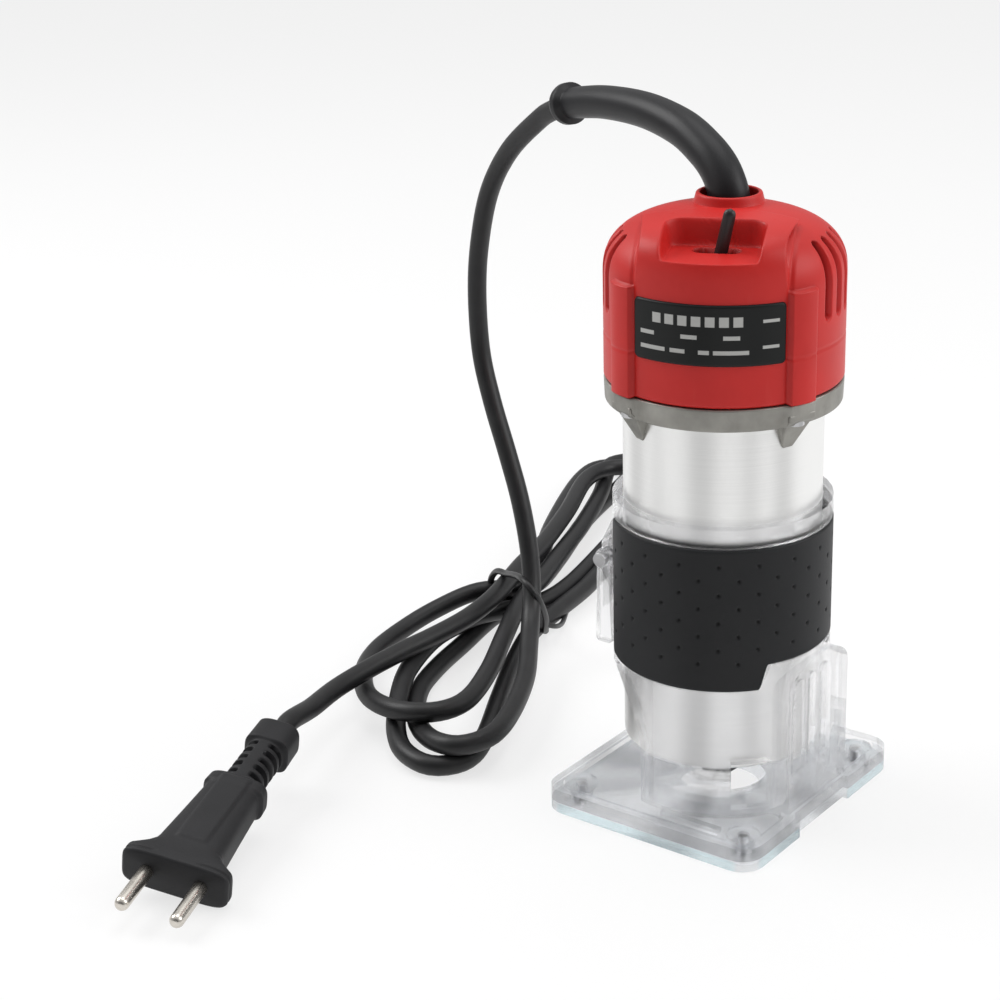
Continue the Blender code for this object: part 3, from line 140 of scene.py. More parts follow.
def smooth_route(points, spacing):
    """Points at an even spacing along a Catmull-Rom curve through the given points."""
    points = np.asarray(points, float)
    ends = np.vstack([2 * points[0] - points[1], points, 2 * points[-1] - points[-2]])
    a, b, c, d = ends[:-3, None], ends[1:-2, None], ends[2:-1, None], ends[3:, None]
    t = (np.arange(24) / 24)[None, :, None]
    fine = (2 * b + (c - a) * t + (2 * a - 5 * b + 4 * c - d) * t**2 + (3 * b - a - 3 * c + d) * t**3) / 2
    fine = np.vstack([fine.reshape(-1, 3), points[-1]])
    lengths = np.concatenate([[0], np.cumsum(np.linalg.norm(np.diff(fine, axis=0), axis=1))])
    wanted = np.linspace(0, lengths[-1], max(2, round(lengths[-1] / spacing)) + 1)
    return np.stack([np.interp(wanted, lengths, fine[:, k]) for k in range(3)], axis=1)


def settle(route, held, radius, rounds, spacing):
    """Moves strands that lie nearer than a diameter apart away from each other. The moves, not the shape, are evened
    out along the cord, so a loop keeps its size. Every point stays a radius above the floor, and the first and last
    points, as many as held says, stay where they are."""
    number = np.arange(len(route))
    apart = np.abs(number[:, None] - number[None, :]) * spacing > 5 * radius
    loose = np.clip(np.minimum(number - held, number[::-1] - held) / 6, 0, 1)[:, None]
    chosen = route
    moved = np.zeros_like(route)
    for _ in range(rounds):
        route = chosen + moved
        gap = route[:, None] - route[None]
        distance = np.linalg.norm(gap, axis=2) + 1e-9
        push = np.where(apart & (distance < 2.04 * radius), 2.04 * radius - distance, 0)
        moved = moved + (gap / distance[..., None] * push[..., None]).sum(axis=1) * 0.3
        for _ in range(3):
            moved[1:-1] = moved[1:-1] / 2 + (moved[:-2] + moved[2:]) / 4
        moved *= loose
        sunk = np.minimum(chosen[:, 2] + moved[:, 2] - radius - 0.15 * MM, 0)
        moved[:, 2] -= sunk * loose[:, 0]
    return chosen + moved


# The cord's course in millimetres: the lead down from the strain relief, the hank's loops, and the tail to the plug.
LEAD = (
    (-92.9, 44.8, 218.9), (-101, 48, 215.3), (-109, 51.2, 211), (-128.8, 59.1, 196.1), (-143, 64.8, 178.3),
    (-150.9, 68, 157.4), (-154.1, 69.3, 136.9), (-152.6, 68.7, 113.1), (-145.8, 65.9, 94.9), (-135.9, 62, 76),
    (-127.9, 58.8, 59.4), (-121.3, 55, 42), (-117, 50.5, 29), (-112.5, 43.5, 20),
)
LOOPS = (
    # first loop towards the plug
    (-105, 32, 15), (-92, 12, 12), (-81, -11, 11), (-75, -31, 11), (-79, -44, 11), (-90, -45, 10), (-106, -35, 7),
    (-120, -21, 4), (-130, -5, 4), (-136, 15, 4), (-140, 38, 4), (-144, 60, 4), (-147, 78, 4),
    # first loop behind the tie
    (-155, 100, 4), (-166, 124, 4), (-182, 152, 4), (-198, 186, 4), (-208, 212, 4), (-210, 227, 4), (-203, 234.5, 4),
    (-193, 230, 4), (-187, 212, 4), (-177, 172, 4), (-160, 126, 4), (-149, 96, 6), (-147, 80, 10),
    # second loop towards the plug
    (-157, 66, 11), (-164, 50, 8), (-167, 32, 5), (-164, 11, 4), (-153, -9, 5), (-134, -28, 8), (-113, -38, 12),
    (-99, -34, 13), (-96, -19, 12.5), (-105, 6, 12), (-120, 36, 12), (-133, 63, 12),
    # second loop behind the tie
    (-141, 88, 12), (-150, 113, 12), (-163, 148, 11), (-178, 184, 11), (-190, 206, 11), (-196, 219, 11),
    (-190, 229, 11), (-179, 227, 11), (-169, 213, 11), (-158, 184, 7), (-146, 140, 5), (-137, 104, 4), (-135, 82, 4),
    # third loop towards the plug, beneath the others
    (-140, 62, 4), (-143, 42, 5), (-141, 20, 8), (-134, -3, 8), (-122, -23, 6), (-111, -38, 4), (-99, -48, 4),
    (-86, -50, 4), (-79, -40, 4), (-84, -23, 4), (-100, 7, 4), (-115, 36, 4), (-125, 60, 4),
    # third loop behind the tie
    (-128, 82, 5), (-133, 110, 5), (-143, 150, 7), (-153, 178, 13), (-161, 197, 18), (-172, 205, 18), (-183, 198, 18),
    (-183, 180, 18), (-168, 145, 18), (-155, 110, 18), (-147, 84, 19), (-141, 66, 19),
)
TAIL = (
    (-137, 50, 18), (-135, 31, 17), (-136, 9, 16), (-138, -6, 15.5), (-139.5, -21, 15), (-139, -40, 15),
    (-133.5, -60, 17),
)
PLUG_TIP = np.array([-93, -182.5, 7.2]) * MM
PLUG_AXIS = np.array([-0.3125, 0.942, 0.118]) / np.linalg.norm([-0.3125, 0.942, 0.118])
PLUG_LONG = 103 * MM


def cord_route():
    """The cord's whole centre line, from the strain relief's lip to the back of the plug."""
    rear = PLUG_TIP + PLUG_AXIS * PLUG_LONG
    end = [rear + PLUG_AXIS * 9 * MM, rear + PLUG_AXIS * 0.3 * MM]
    chosen = [*(np.array(LEAD + LOOPS + TAIL) * MM), *end]
    coarse, fine = 3.4 * MM, 3 * MM
    route = smooth_route(chosen, coarse)
    route = settle(route, held=4, radius=CORD_R, rounds=160, spacing=coarse)
    return smooth_route(route, fine)


def section_frames(route):
    """Two directions across the route at each of its points, carried along it without twisting."""
    along = np.gradient(route, axis=0)
    along /= np.linalg.norm(along, axis=1)[:, None]
    side = np.cross(along[0], (0, 0, 1.0))
    sides = []
    for direction in along:
        side = side - direction * (side @ direction)
        side = side / np.linalg.norm(side)
        sides.append(side)
    sides = np.array(sides)
    return sides, np.cross(along, sides)


def sleeve_round(name, route, radii, steps):
    """A round skin: the point at each angle of each ring is the route's point plus the ring's radius along
    cosine times the first cross direction plus sine times the second. Both ends are closed by a fan."""
    first, second = section_frames(route)
    angles = np.linspace(0, math.tau, steps, endpoint=False)
    radii = np.broadcast_to(np.asarray(radii, float).reshape(-1, 1) if np.ndim(radii) else radii, (len(route), 1))
    rings = route[:, None] + radii[..., None] * (
        np.cos(angles)[None, :, None] * first[:, None] + np.sin(angles)[None, :, None] * second[:, None]
    )
    made = mesh_of(name, *capped(rings))
    outward(made)
    return made


def build_cord(route):
    cord = sleeve_round("cord", route, CORD_R, 20)
    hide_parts("cord_lead", "cord_hank", "cord_tail")
    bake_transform(cord)
    return cord


# Finishes

class Signal:
    """A number that comes out of a shader node, so that sums and products can be written with it."""

    def __init__(self, finish, socket):
        self.finish, self.socket = finish, socket

    def worked(self, operation, first, second=0.0, clamp=False):
        settings = {"operation": operation, "use_clamp": clamp}
        return self.finish.node("ShaderNodeMath", settings, {0: first, 1: second})

    def __add__(self, other):
        return self.worked("ADD", self, other)

    def __radd__(self, other):
        return self.worked("ADD", other, self)

    def __sub__(self, other):
        return self.worked("SUBTRACT", self, other)

    def __rsub__(self, other):
        return self.worked("SUBTRACT", other, self)

    def __mul__(self, other):
        return self.worked("MULTIPLY", self, other)

    def __rmul__(self, other):
        return self.worked("MULTIPLY", other, self)

    def between(self, low, high):
        """0 at low, 1 at high, and straight between them."""
        return self.worked("MULTIPLY", self - low, 1 / (high - low), clamp=True)


class Finish:
    """A material built from nodes round one Principled shader."""

    def __init__(self, name, colour, roughness, metallic=0.0, **constants):
        self.material = bpy.data.materials.new(name)
        self.material.use_nodes = True
        self.nodes, self.links = self.material.node_tree.nodes, self.material.node_tree.links
        self.shader = self.nodes["Principled BSDF"]
        self.colour, self.roughness = colour, roughness
        self.shader.inputs["Base Color"].default_value = (*colour, 1)
        self.shader.inputs["Roughness"].default_value = roughness
        self.shader.inputs["Metallic"].default_value = metallic
        for socket, value in constants.items():
            self.shader.inputs[socket.replace("_", " ").title().replace("Ior", "IOR")].default_value = value

    def node(self, kind, settings=None, inputs=None, output=0):
        made = self.nodes.new(kind)
        for key, value in (settings or {}).items():
            setattr(made, key, value)
        for key, value in (inputs or {}).items():
            if isinstance(value, Signal):
                self.links.new(value.socket, made.inputs[key])
            else:
                made.inputs[key].default_value = value
        return Signal(self, made.outputs[output])

    def place(self, stretch=(1, 1, 1)):
        """The point on the object, each axis stretched."""
        point = self.node("ShaderNodeTexCoord", output="Object")
        return self.node("ShaderNodeVectorMath", {"operation": "MULTIPLY"}, {0: point, 1: stretch})

    def noise(self, scale, detail=2.0, stretch=(1, 1, 1)):
        inputs = {"Vector": self.place(stretch), "Scale": scale, "Detail": detail}
        return self.node("ShaderNodeTexNoise", None, inputs)

    def attribute(self, name):
        return self.node("ShaderNodeAttribute", {"attribute_name": name}, output="Fac")

    def mixed(self, share, first, second):
        first = first if isinstance(first, Signal) else (*first, 1)
        second = second if isinstance(second, Signal) else (*second, 1)
        return self.node("ShaderNodeMix", {"data_type": "RGBA"}, {0: share, 6: first, 7: second}, 2)

    def feed(self, socket, signal):
        self.links.new(signal.socket, self.shader.inputs[socket])

    def blended(self, share, second):
        """Shows that share of the second shader in place of the Principled one."""
        inputs = {0: share, 1: Signal(self, self.shader.outputs[0]), 2: second}
        mix = self.node("ShaderNodeMixShader", None, inputs)
        self.links.new(mix.socket, self.nodes["Material Output"].inputs["Surface"])

    def bump(self, height, distance, strength=0.5):
        inputs = {"Strength": strength, "Distance": distance, "Height": height}
        self.feed("Normal", self.node("ShaderNodeBump", None, inputs))

    def grained(self, scale, depth, spread=0.06, shade=0.88):
        """Fine moulded grain: small bumps, uneven roughness and broad soft changes of shade."""
        grain = self.noise(scale, 3)
        broad = self.noise(60, 3)
        self.feed("Roughness", self.roughness - spread + 2 * spread * (broad * 0.5 + grain * 0.5))
        darker = tuple(shade * part for part in self.colour)
        self.feed("Base Color", self.mixed(broad.between(0.3, 0.7), darker, self.colour))
        self.bump(grain, depth)
        return self


def red_plastic():
    finish = Finish("red_plastic", (0.60, 0.030, 0.026), 0.42, specular_ior_level=0.35)
    grain, broad = finish.noise(2600, 3), finish.noise(45, 3)
    tone = finish.mixed(broad.between(0.3, 0.7), (0.55, 0.016, 0.013), (0.62, 0.020, 0.017))
    scuffs = finish.noise(240, 4, (1, 1, 0.15)).between(0.66, 0.74)
    tone = finish.mixed(scuffs * 0.1, tone, (0.68, 0.09, 0.08))
    # Painted shade: the depth attribute mixes in a near-black red inside the vents, the switch slot and the cord
    # hole.
    finish.feed("Base Color", finish.mixed(finish.attribute("depth"), tone, (0.05, 0.004, 0.005)))
    finish.feed("Roughness", 0.36 + 0.1 * broad + 0.06 * grain + 0.1 * scuffs)
    finish.bump(grain, 0.00006)
    return finish


def label_black():
    """Dark plate with pale blocks and bars: (left, right, low, high) are shares of its width and height."""
    finish = Finish("label_black", (0.008, 0.009, 0.009), 0.38, specular_ior_level=0.25)
    spot = finish.node("ShaderNodeUVMap", {"uv_map": "plate"})
    across = finish.node("ShaderNodeSeparateXYZ", None, {0: spot}, 0)
    upward = finish.node("ShaderNodeSeparateXYZ", None, {0: spot}, 1)
    bars = [(left, left + 0.062, 0.65, 0.82) for left in (0.15, 0.235, 0.32, 0.405, 0.49, 0.575, 0.66)]
    bars += [(left, left + 0.105, 0.44, 0.515) for left in (0.06, 0.34, 0.60)]
    bars += [(left, right, 0.20, 0.275) for left, right in ((0.06, 0.24), (0.27, 0.37), (0.45, 0.52), (0.54, 0.76))]
    bars += [(0.84, 0.95, 0.70, 0.76), (0.84, 0.95, 0.28, 0.34)]
    soft = 0.004
    printed = 0.0
    for left, right, low, high in bars:
        inside = across.between(left, left + soft) * (1 - across.between(right - soft, right))
        inside = inside * upward.between(low, low + 2 * soft) * (1 - upward.between(high - 2 * soft, high))
        printed = inside + printed
    grain = finish.noise(3200, 2)
    ground = finish.mixed(finish.noise(70, 2), (0.007, 0.008, 0.008), (0.010, 0.011, 0.011))
    finish.feed("Base Color", finish.mixed(printed * 0.8, ground, (0.62, 0.62, 0.60)))
    finish.feed("Roughness", 0.33 + 0.1 * grain + 0.1 * printed)
    finish.bump(grain * 0.4 + printed, 0.00005)
    return finish


def rubber(name, colour, roughness):
    finish = Finish(name, colour, roughness, specular_ior_level=0.3)
    return finish.grained(2300, 0.00008, 0.07, 0.72)


def grip_rubber():
    finish = Finish("grip_rubber", (0.014, 0.0145, 0.016), 0.5, specular_ior_level=0.3)
    grain, broad = finish.noise(3000, 3), finish.noise(50, 3)
    ground = finish.mixed(broad.between(0.3, 0.7), (0.011, 0.0115, 0.013), (0.016, 0.0165, 0.018))
    # Painted shade: the depth attribute mixes in near-black inside the dimples.
    finish.feed("Base Color", finish.mixed(finish.attribute("depth"), ground, (0.004, 0.004, 0.004)))
    finish.feed("Roughness", 0.44 + 0.14 * broad + 0.08 * grain)
    finish.bump(grain, 0.00007)
    return finish


def cord_pvc():
    finish = Finish("cord_pvc", (0.014, 0.014, 0.015), 0.38, specular_ior_level=0.42)
    grain, broad = finish.noise(1500, 3), finish.noise(120, 3)
    finish.feed("Base Color", finish.mixed(broad.between(0.3, 0.7), (0.011, 0.011, 0.012), (0.017, 0.017, 0.018)))
    finish.feed("Roughness", 0.34 + 0.12 * broad + 0.08 * grain)
    finish.bump(grain * 0.6 + broad, 0.00012, 0.4)
    return finish


def turned_metal(name, colour, roughness, lines=9000, depth=0.00002, spread=0.12):
    """Metal with the fine level rings that a lathe leaves round an upright axis."""
    finish = Finish(name, colour, roughness, 1.0)
    rings = finish.noise(1, 2, (30, 30, lines))
    broad = finish.noise(35, 3)
    finish.feed("Roughness", roughness - spread / 2 + spread * rings)
    dull = tuple(0.95 * part for part in colour)
    finish.feed("Base Color", finish.mixed(broad.between(0.35, 0.65), dull, colour))
    finish.bump(rings, depth, 0.12)
    return finish


def cast_metal():
    finish = Finish("cast_aluminium", (0.50, 0.49, 0.46), 0.48, 0.85)
    grain, broad = finish.noise(900, 4), finish.noise(90, 4)
    height = finish.node("ShaderNodeSeparateXYZ", None, {0: finish.place()}, 2)
    tube = 1 - height.between(0.1402, 0.1412)
    rings = finish.noise(1, 2, (30, 30, 8000))
    cast = finish.mixed(broad.between(0.35, 0.7), (0.27, 0.262, 0.24), (0.40, 0.39, 0.36))
    bright = finish.mixed(rings.between(0.3, 0.7), (0.86, 0.86, 0.85), (0.93, 0.93, 0.92))
    rib = finish.attribute("cast")
    turned = tube * (1 - rib)
    finish.feed("Base Color", finish.mixed(turned, cast, bright))
    finish.feed("Roughness", 0.42 + 0.14 * grain - turned * 0.2 + turned * rings * 0.1)
    finish.feed("Metallic", 0.8 + 0.2 * turned)
    finish.bump(grain * (1 - turned) + rings * turned * 0.1, 0.00015, 0.4)
    return finish


def plain_metal(name, colour, roughness, metallic=1.0):
    finish = Finish(name, colour, roughness, metallic)
    grain, broad = finish.noise(1800, 3), finish.noise(160, 3)
    finish.feed("Base Color", finish.mixed(broad.between(0.3, 0.7), tuple(0.8 * part for part in colour), colour))
    finish.feed("Roughness", roughness - 0.06 + 0.12 * grain + 0.06 * broad)
    finish.bump(grain, 0.00003, 0.3)
    return finish


def clear_plastic(name, colour, see_through, edge=None, roughness=0.04):
    """Clear moulded plastic that lets light through, with faint flow marks and a few dull scuffs. An edge is a tint
    and the half sizes of the sheet whose outer sides take it."""
    finish = Finish(name, colour, roughness, transmission_weight=1.0, ior=1.3)
    flow, scuffs = finish.noise(70, 3), finish.noise(420, 4).between(0.6, 0.75)
    finish.feed("Roughness", 0.015 + 0.03 * flow + 0.12 * scuffs)
    body = finish.mixed(flow.between(0.3, 0.7), colour, tuple(0.97 * part for part in colour))
    if edge:
        tint, half_x, half_y = edge
        spot = finish.place()
        sides = 0.0
        for axis, half in ((0, half_x), (1, half_y)):
            along = finish.node("ShaderNodeSeparateXYZ", None, {0: spot}, axis)
            away = finish.node("ShaderNodeMath", {"operation": "ABSOLUTE"}, {0: along})
            sides = away.between(half - 0.5 * MM, half - 0.1 * MM) + sides
        body = finish.mixed(sides.worked("MINIMUM", sides, 1.0), body, tint)
    finish.feed("Base Color", body)
    finish.bump(flow, 0.0004, 0.35)
    lit = finish.node("ShaderNodeLightPath", output="Is Shadow Ray")
    through = finish.node("ShaderNodeBsdfTransparent", None, {"Color": (*colour, 1)})
    share = (lit + see_through).worked("MINIMUM", lit + see_through, 1.0)
    finish.blended(share, through)
    return finish


PLATE_HALF_X, PLATE_HALF_Y = 41 * MM, 47.5 * MM
SHEET_EDGE = ((0.45, 0.72, 0.78), PLATE_HALF_X, PLATE_HALF_Y)
FINISHES = {
    "red_plastic": red_plastic(),
    "label_black": label_black(),
    "black_plastic": Finish("black_plastic", (0.016, 0.016, 0.017), 0.4).grained(2500, 0.00005),
    "grip_rubber": grip_rubber(),
    "relief_rubber": rubber("relief_rubber", (0.015, 0.015, 0.017), 0.42),
    "plug_rubber": rubber("plug_rubber", (0.020, 0.020, 0.022), 0.55),
    "cord_pvc": cord_pvc(),
    "clear_plastic": clear_plastic("clear_plastic", (0.965, 0.965, 0.97), 0.5),
    "bluish_clear": clear_plastic("bluish_clear", (0.85, 0.865, 0.885), 0.4, SHEET_EDGE),
    "aluminium": cast_metal(),
    "steel": turned_metal("steel", (0.58, 0.58, 0.59), 0.3),
    "dark_steel": plain_metal("dark_steel", (0.035, 0.035, 0.038), 0.45, 0.3),
    "copper": plain_metal("copper", (0.72, 0.32, 0.16), 0.35),
    "brass": plain_metal("brass", (0.75, 0.6, 0.3), 0.32),
    "carbon": plain_metal("carbon", (0.05, 0.05, 0.05), 0.6, 0.2),
    "nickel": plain_metal("nickel", (0.72, 0.68, 0.62), 0.24),
}


def finish_with(made, slot):
    made.data.materials.clear()
    made.data.materials.append(FINISHES[slot].material)


def placed(made, slot, body, *nodes):
    """Gives a finished piece its finish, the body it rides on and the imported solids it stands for."""
    finish_with(made, slot)
    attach(made, body)
    if nodes:
        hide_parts(*nodes)
    return made


# Shapes

def eased(value, low, high):
    """0 at low and 1 at high with a smooth start and end: three times the square less twice the cube."""
    share = np.clip((value - low) / (high - low), 0, 1)
    return share * share * (3 - 2 * share)


def point_attribute(made, name, values):
    layer = made.data.attributes.new(name, "FLOAT", "POINT")
    layer.data.foreach_set("value", np.asarray(values, np.float32).ravel())


def turned(points, angle):
    """Points turned round the upright axis."""
    cosine, sine = math.cos(angle), math.sin(angle)
    x, y, z = points[..., 0], points[..., 1], points[..., 2]
    return np.stack([x * cosine - y * sine, x * sine + y * cosine, z], -1)


def motor_turned(points):
    """Points given with the switch towards -Y, turned to how the motor unit stands in its base."""
    return turned(points, MOTOR_TURN)


def round_profile(corners, radius, step):
    """A profile of (radius, height) corners with each corner rounded by a quadratic curve and points a step apart."""
    corners = np.asarray(corners, float)
    path = [corners[0]]
    for before, at, after in zip(corners, corners[1:], corners[2:]):
        back, on = before - at, after - at
        cut = min(radius, np.linalg.norm(back) / 2.01, np.linalg.norm(on) / 2.01)
        start, end = at + back / np.linalg.norm(back) * cut, at + on / np.linalg.norm(on) * cut
        for t in np.linspace(0, 1, 5):
            path.append((1 - t) ** 2 * start + 2 * t * (1 - t) * at + t**2 * end)
    path.append(corners[-1])
    path = np.array(path)
    full = [path[0]]
    for first, second in zip(path, path[1:]):
        parts = max(1, int(np.ceil(np.linalg.norm(second - first) / step)))
        full += [first + (second - first) * k / parts for k in range(1, parts + 1)]
    return np.array(full)


def spun(profile, angles, x=0.0, y=0.0):
    """A grid of points: each profile point's radius carried round the upright line at (x, y), its height kept."""
    radius, height = profile[:, 0][:, None], profile[:, 1][:, None]
    return np.stack([x + radius * np.sin(angles), y - radius * np.cos(angles), height + 0 * angles], -1)


# Cap

CAP_LOW, SHOULDER, CAP_HIGH, CAP_R = 149.4 * MM, 183 * MM, 203.6 * MM, 38.5 * MM
CAP_BOSSES = np.radians((46, 134, 226, 314))
BOSS_R, BOSS_HALF, BOSS_TOP = 40.8 * MM, 4.7 * MM, 184.9 * MM
PANEL_HALF, SEAM_AT = 24.3 * MM, 164.3 * MM
RECESS_AT, RECESS_HALF_X, RECESS_HALF_Y, RECESS_FLOOR = 31.5 * MM, 15.2 * MM, 15.8 * MM, 195 * MM
SWITCH_AT, SLOT_HALF, SLOT_R, SLOT_DEEP = 21.5 * MM, 4.4 * MM, 2.9 * MM, 7 * MM
NECK_AT, MOUTH_R, MOUTH_DEEP = 9 * MM, 9.3 * MM, 9 * MM
VENTS = [side * math.radians(64 + 10.5 * k) for side in (1, -1) for k in range(4)]
VENT_HALF, VENT_R, VENT_DEEP, VENT_RAISED = 11.6 * MM, 1.65 * MM, 3.2 * MM, 3.2 * MM
NECK = ((13.8, 198.6), (13.0, 200.6), (11.2, 203.6), (10.5, 206.4), (9.2, 206.4), (8.9, 196.0))


def capsule(across, along, half_long, radius):
    """Distance outside a round-ended slot: the distance to its middle line less its radius."""
    return np.hypot(across, np.maximum(np.abs(along) - half_long, 0)) - radius


def boxed(x, y, half_x, half_y, radius):
    """Distance outside a rectangle with rounded corners."""
    dx, dy = np.abs(x) - half_x + radius, np.abs(y) - half_y + radius
    return np.hypot(np.maximum(dx, 0), np.maximum(dy, 0)) + np.minimum(np.maximum(dx, dy), 0) - radius


def build_cap():
    """The moulded cap: an upright wall and a crown whose radius and height are powers of the cosine and sine of
    one angle. Over the front panel the power is larger, so the brow stands out. The screw bosses swell the wall,
    the vents and the cord hole sink it, and the switch recess cuts the crown off at its floor."""
    columns = 480
    angle = np.linspace(-math.pi, math.pi, columns, endpoint=False)[None, :]
    wall = np.linspace(CAP_LOW, SHOULDER, 72)[:, None]
    rise = np.linspace(0, math.pi / 2, 1200)
    even = np.stack([CAP_R * np.cos(rise) ** (2 / 3.1), (CAP_HIGH - SHOULDER) * np.sin(rise) ** (2 / 3.1)], 1)
    lengths = np.concatenate([[0], np.cumsum(np.linalg.norm(np.diff(even, axis=0), axis=1))])
    turn = np.interp(np.linspace(0, lengths[-1], 122), lengths, rise)[1:, None]

    def crown(power):
        radius = CAP_R * np.cos(turn) ** (2 / power)
        radius[-1] = 0.02 * MM
        return radius, SHOULDER + (CAP_HIGH - SHOULDER) * np.sin(turn) ** (2 / power)

    plain_r, plain_z = crown(2.6)
    brow_r, brow_z = crown(4.4)
    front = eased(np.cos(angle), 0.25, 0.4)
    reach = plain_r * np.abs(np.sin(angle))
    half_brow = (23.6 - 4.6 * np.sin(turn) ** 1.5) * MM
    brow = front * (1 - eased(reach, half_brow - 0.45 * MM, half_brow + 0.25 * MM))
    radius = np.vstack([np.broadcast_to(CAP_R, (len(wall), columns)), plain_r + (brow_r - plain_r) * brow])
    height = np.vstack([np.broadcast_to(wall, (len(wall), columns)), plain_z + (brow_z - plain_z) * brow])
    radius = radius - 0.9 * MM * eased(-height, -CAP_LOW - 0.8 * MM, -CAP_LOW)
    panel_edge = np.exp(-(((np.abs(radius * np.sin(angle)) - PANEL_HALF) / (0.55 * MM)) ** 2)) * front
    radius = radius - 0.7 * MM * panel_edge * (height < CAP_HIGH - 3 * MM)

    for at in CAP_BOSSES:
        away = np.abs((angle - at + math.pi) % math.tau - math.pi) * CAP_R
        swell = 1 - eased(away, BOSS_HALF, BOSS_HALF + 0.6 * MM)
        swell = swell * (1 - eased(height, BOSS_TOP, BOSS_TOP + 0.5 * MM))
        face = BOSS_R - 0.5 * MM * (away / BOSS_HALF) ** 2
        radius = radius + np.maximum(face - radius, 0) * swell
    seam = np.exp(-(((height - SEAM_AT) / (0.32 * MM)) ** 2))
    radius = radius - 0.35 * MM * seam

    x, y = radius * np.sin(angle), -radius * np.cos(angle)
    recess = boxed(x, y + RECESS_AT, RECESS_HALF_X, RECESS_HALF_Y, 5 * MM)
    sunk = 1 - eased(recess, -0.9 * MM, 0.7 * MM)
    floor = RECESS_FLOOR - 0.25 * MM * eased(-y, 18 * MM, 36 * MM)
    height = height - np.maximum(height - floor, 0) * sunk

    depth = np.zeros_like(radius)
    for at in VENTS:
        away = ((angle - at + math.pi) % math.tau - math.pi) * radius
        climb = np.concatenate([wall[:, 0] - SHOULDER, np.interp(turn[:, 0], rise, lengths)])[:, None]
        slot = capsule(away, climb - VENT_RAISED, VENT_HALF, VENT_R)
        depth = np.maximum(depth, 1 - eased(slot, -0.75 * MM, 0.25 * MM))
    radius = radius - VENT_DEEP * depth
    x, y = radius * np.sin(angle), -radius * np.cos(angle)
    slot = capsule(y + SWITCH_AT, x - 0.6 * MM, SLOT_HALF, SLOT_R)
    well = 1 - eased(slot, -0.3 * MM, 0.3 * MM)
    height = height - SLOT_DEEP * well
    mouth = 1 - eased(np.hypot(x, y - NECK_AT), MOUTH_R, MOUTH_R + 0.5 * MM)
    height = height - MOUTH_DEEP * mouth
    # Painted shade: this share darkens the vents, the switch slot and the cord hole by how deep they sink, as if
    # shadowed inside; it is stored as the depth attribute.
    painted_dark = np.maximum(np.maximum(eased(depth, 0.4, 1.0) * 0.85, eased(well, 0.1, 0.5)), mouth * 0.8)

    inner = spun(np.array([(37.2 * MM, CAP_LOW), (36 * MM, CAP_LOW + 0.4 * MM), (36 * MM, CAP_LOW + 6 * MM)]), angle)
    outer = np.stack([x, y, height], -1)
    grid = np.vstack([inner[::-1], outer])
    made = mesh_of("cap", *capped(motor_turned(grid), first=False))
    point_attribute(made, "depth", [*np.zeros(3 * columns), *painted_dark.ravel(), 0])
    placed(made, "red_plastic", "motor", "motor_cap")

    neck = round_profile(np.array(NECK) * MM, 0.8 * MM, 0.5 * MM)
    steps = 96
    rim = spun(neck, np.linspace(0, math.tau, steps, endpoint=False)[None, :], 0, NECK_AT)
    made = mesh_of("cap_neck", motor_turned(rim), grid_faces(len(rim), steps, True))
    # Painted shade: the inside of the neck is darkened towards its bottom, as if in shadow, through the depth
    # attribute.
    inside = eased(-neck[:, 1], -205.0 * MM, -198 * MM) * (neck[:, 0] < MOUTH_R)
    point_attribute(made, "depth", np.repeat(inside, steps) * 0.8)
    placed(made, "red_plastic", "motor")


def build_label():
    """The rating plate: a rounded rectangle wrapped round the cap a little proud of it, with its rim turned in. A
    smaller copy of it, joined to it round the border, is its back."""
    columns, rows = 120, 50
    half, low, high, outside = math.radians(37), 163.1 * MM, 182.5 * MM, 39.25 * MM
    across, upward = np.meshgrid(np.linspace(-1, 1, columns), np.linspace(-1, 1, rows))
    wide, tall, corner = half * CAP_R, (high - low) / 2, 1.6 * MM
    x, z = across * wide, upward * tall
    pulled = np.maximum(boxed(x, z, wide, tall, corner), 0) * 0.71
    x = x - np.sign(x) * pulled
    z = z - np.sign(z) * pulled
    rim = eased(-boxed(x, z, wide, tall, corner), 0.0, 0.5 * MM)
    radius = outside - 0.7 * MM * (1 - rim)
    angle = x / CAP_R
    grid = np.stack([radius * np.sin(angle), -radius * np.cos(angle), (low + high) / 2 + z], -1)
    hidden = grid.copy()
    hidden[..., :2] *= ((outside - 1.1 * MM) / radius)[..., None]
    front = [tuple(face) for face in grid_faces(rows, columns, False)]
    shell = front + [tuple(rows * columns + index for index in face[::-1]) for face in front]
    border = [*range(columns), *range(2 * columns - 1, rows * columns, columns)]
    border += [*range(rows * columns - 2, (rows - 1) * columns - 1, -1), *range((rows - 2) * columns, 0, -columns)]
    for first, second in zip(border, border[1:] + border[:1]):
        shell.append((second, first, rows * columns + first, rows * columns + second))
    made = mesh_of("label_face", motor_turned(np.concatenate([grid, hidden])), shell)
    spots = made.data.uv_layers.new(name="plate")
    corners = np.empty(len(made.data.loops), np.int32)
    made.data.loops.foreach_get("vertex_index", corners)
    flat = np.tile(np.stack([(x / wide + 1) / 2, (z / tall + 1) / 2], -1).reshape(-1, 2), (2, 1))
    spots.data.foreach_set("uv", flat[corners].astype(np.float32).ravel())
    placed(made, "label_black", "motor", "rating_plate")


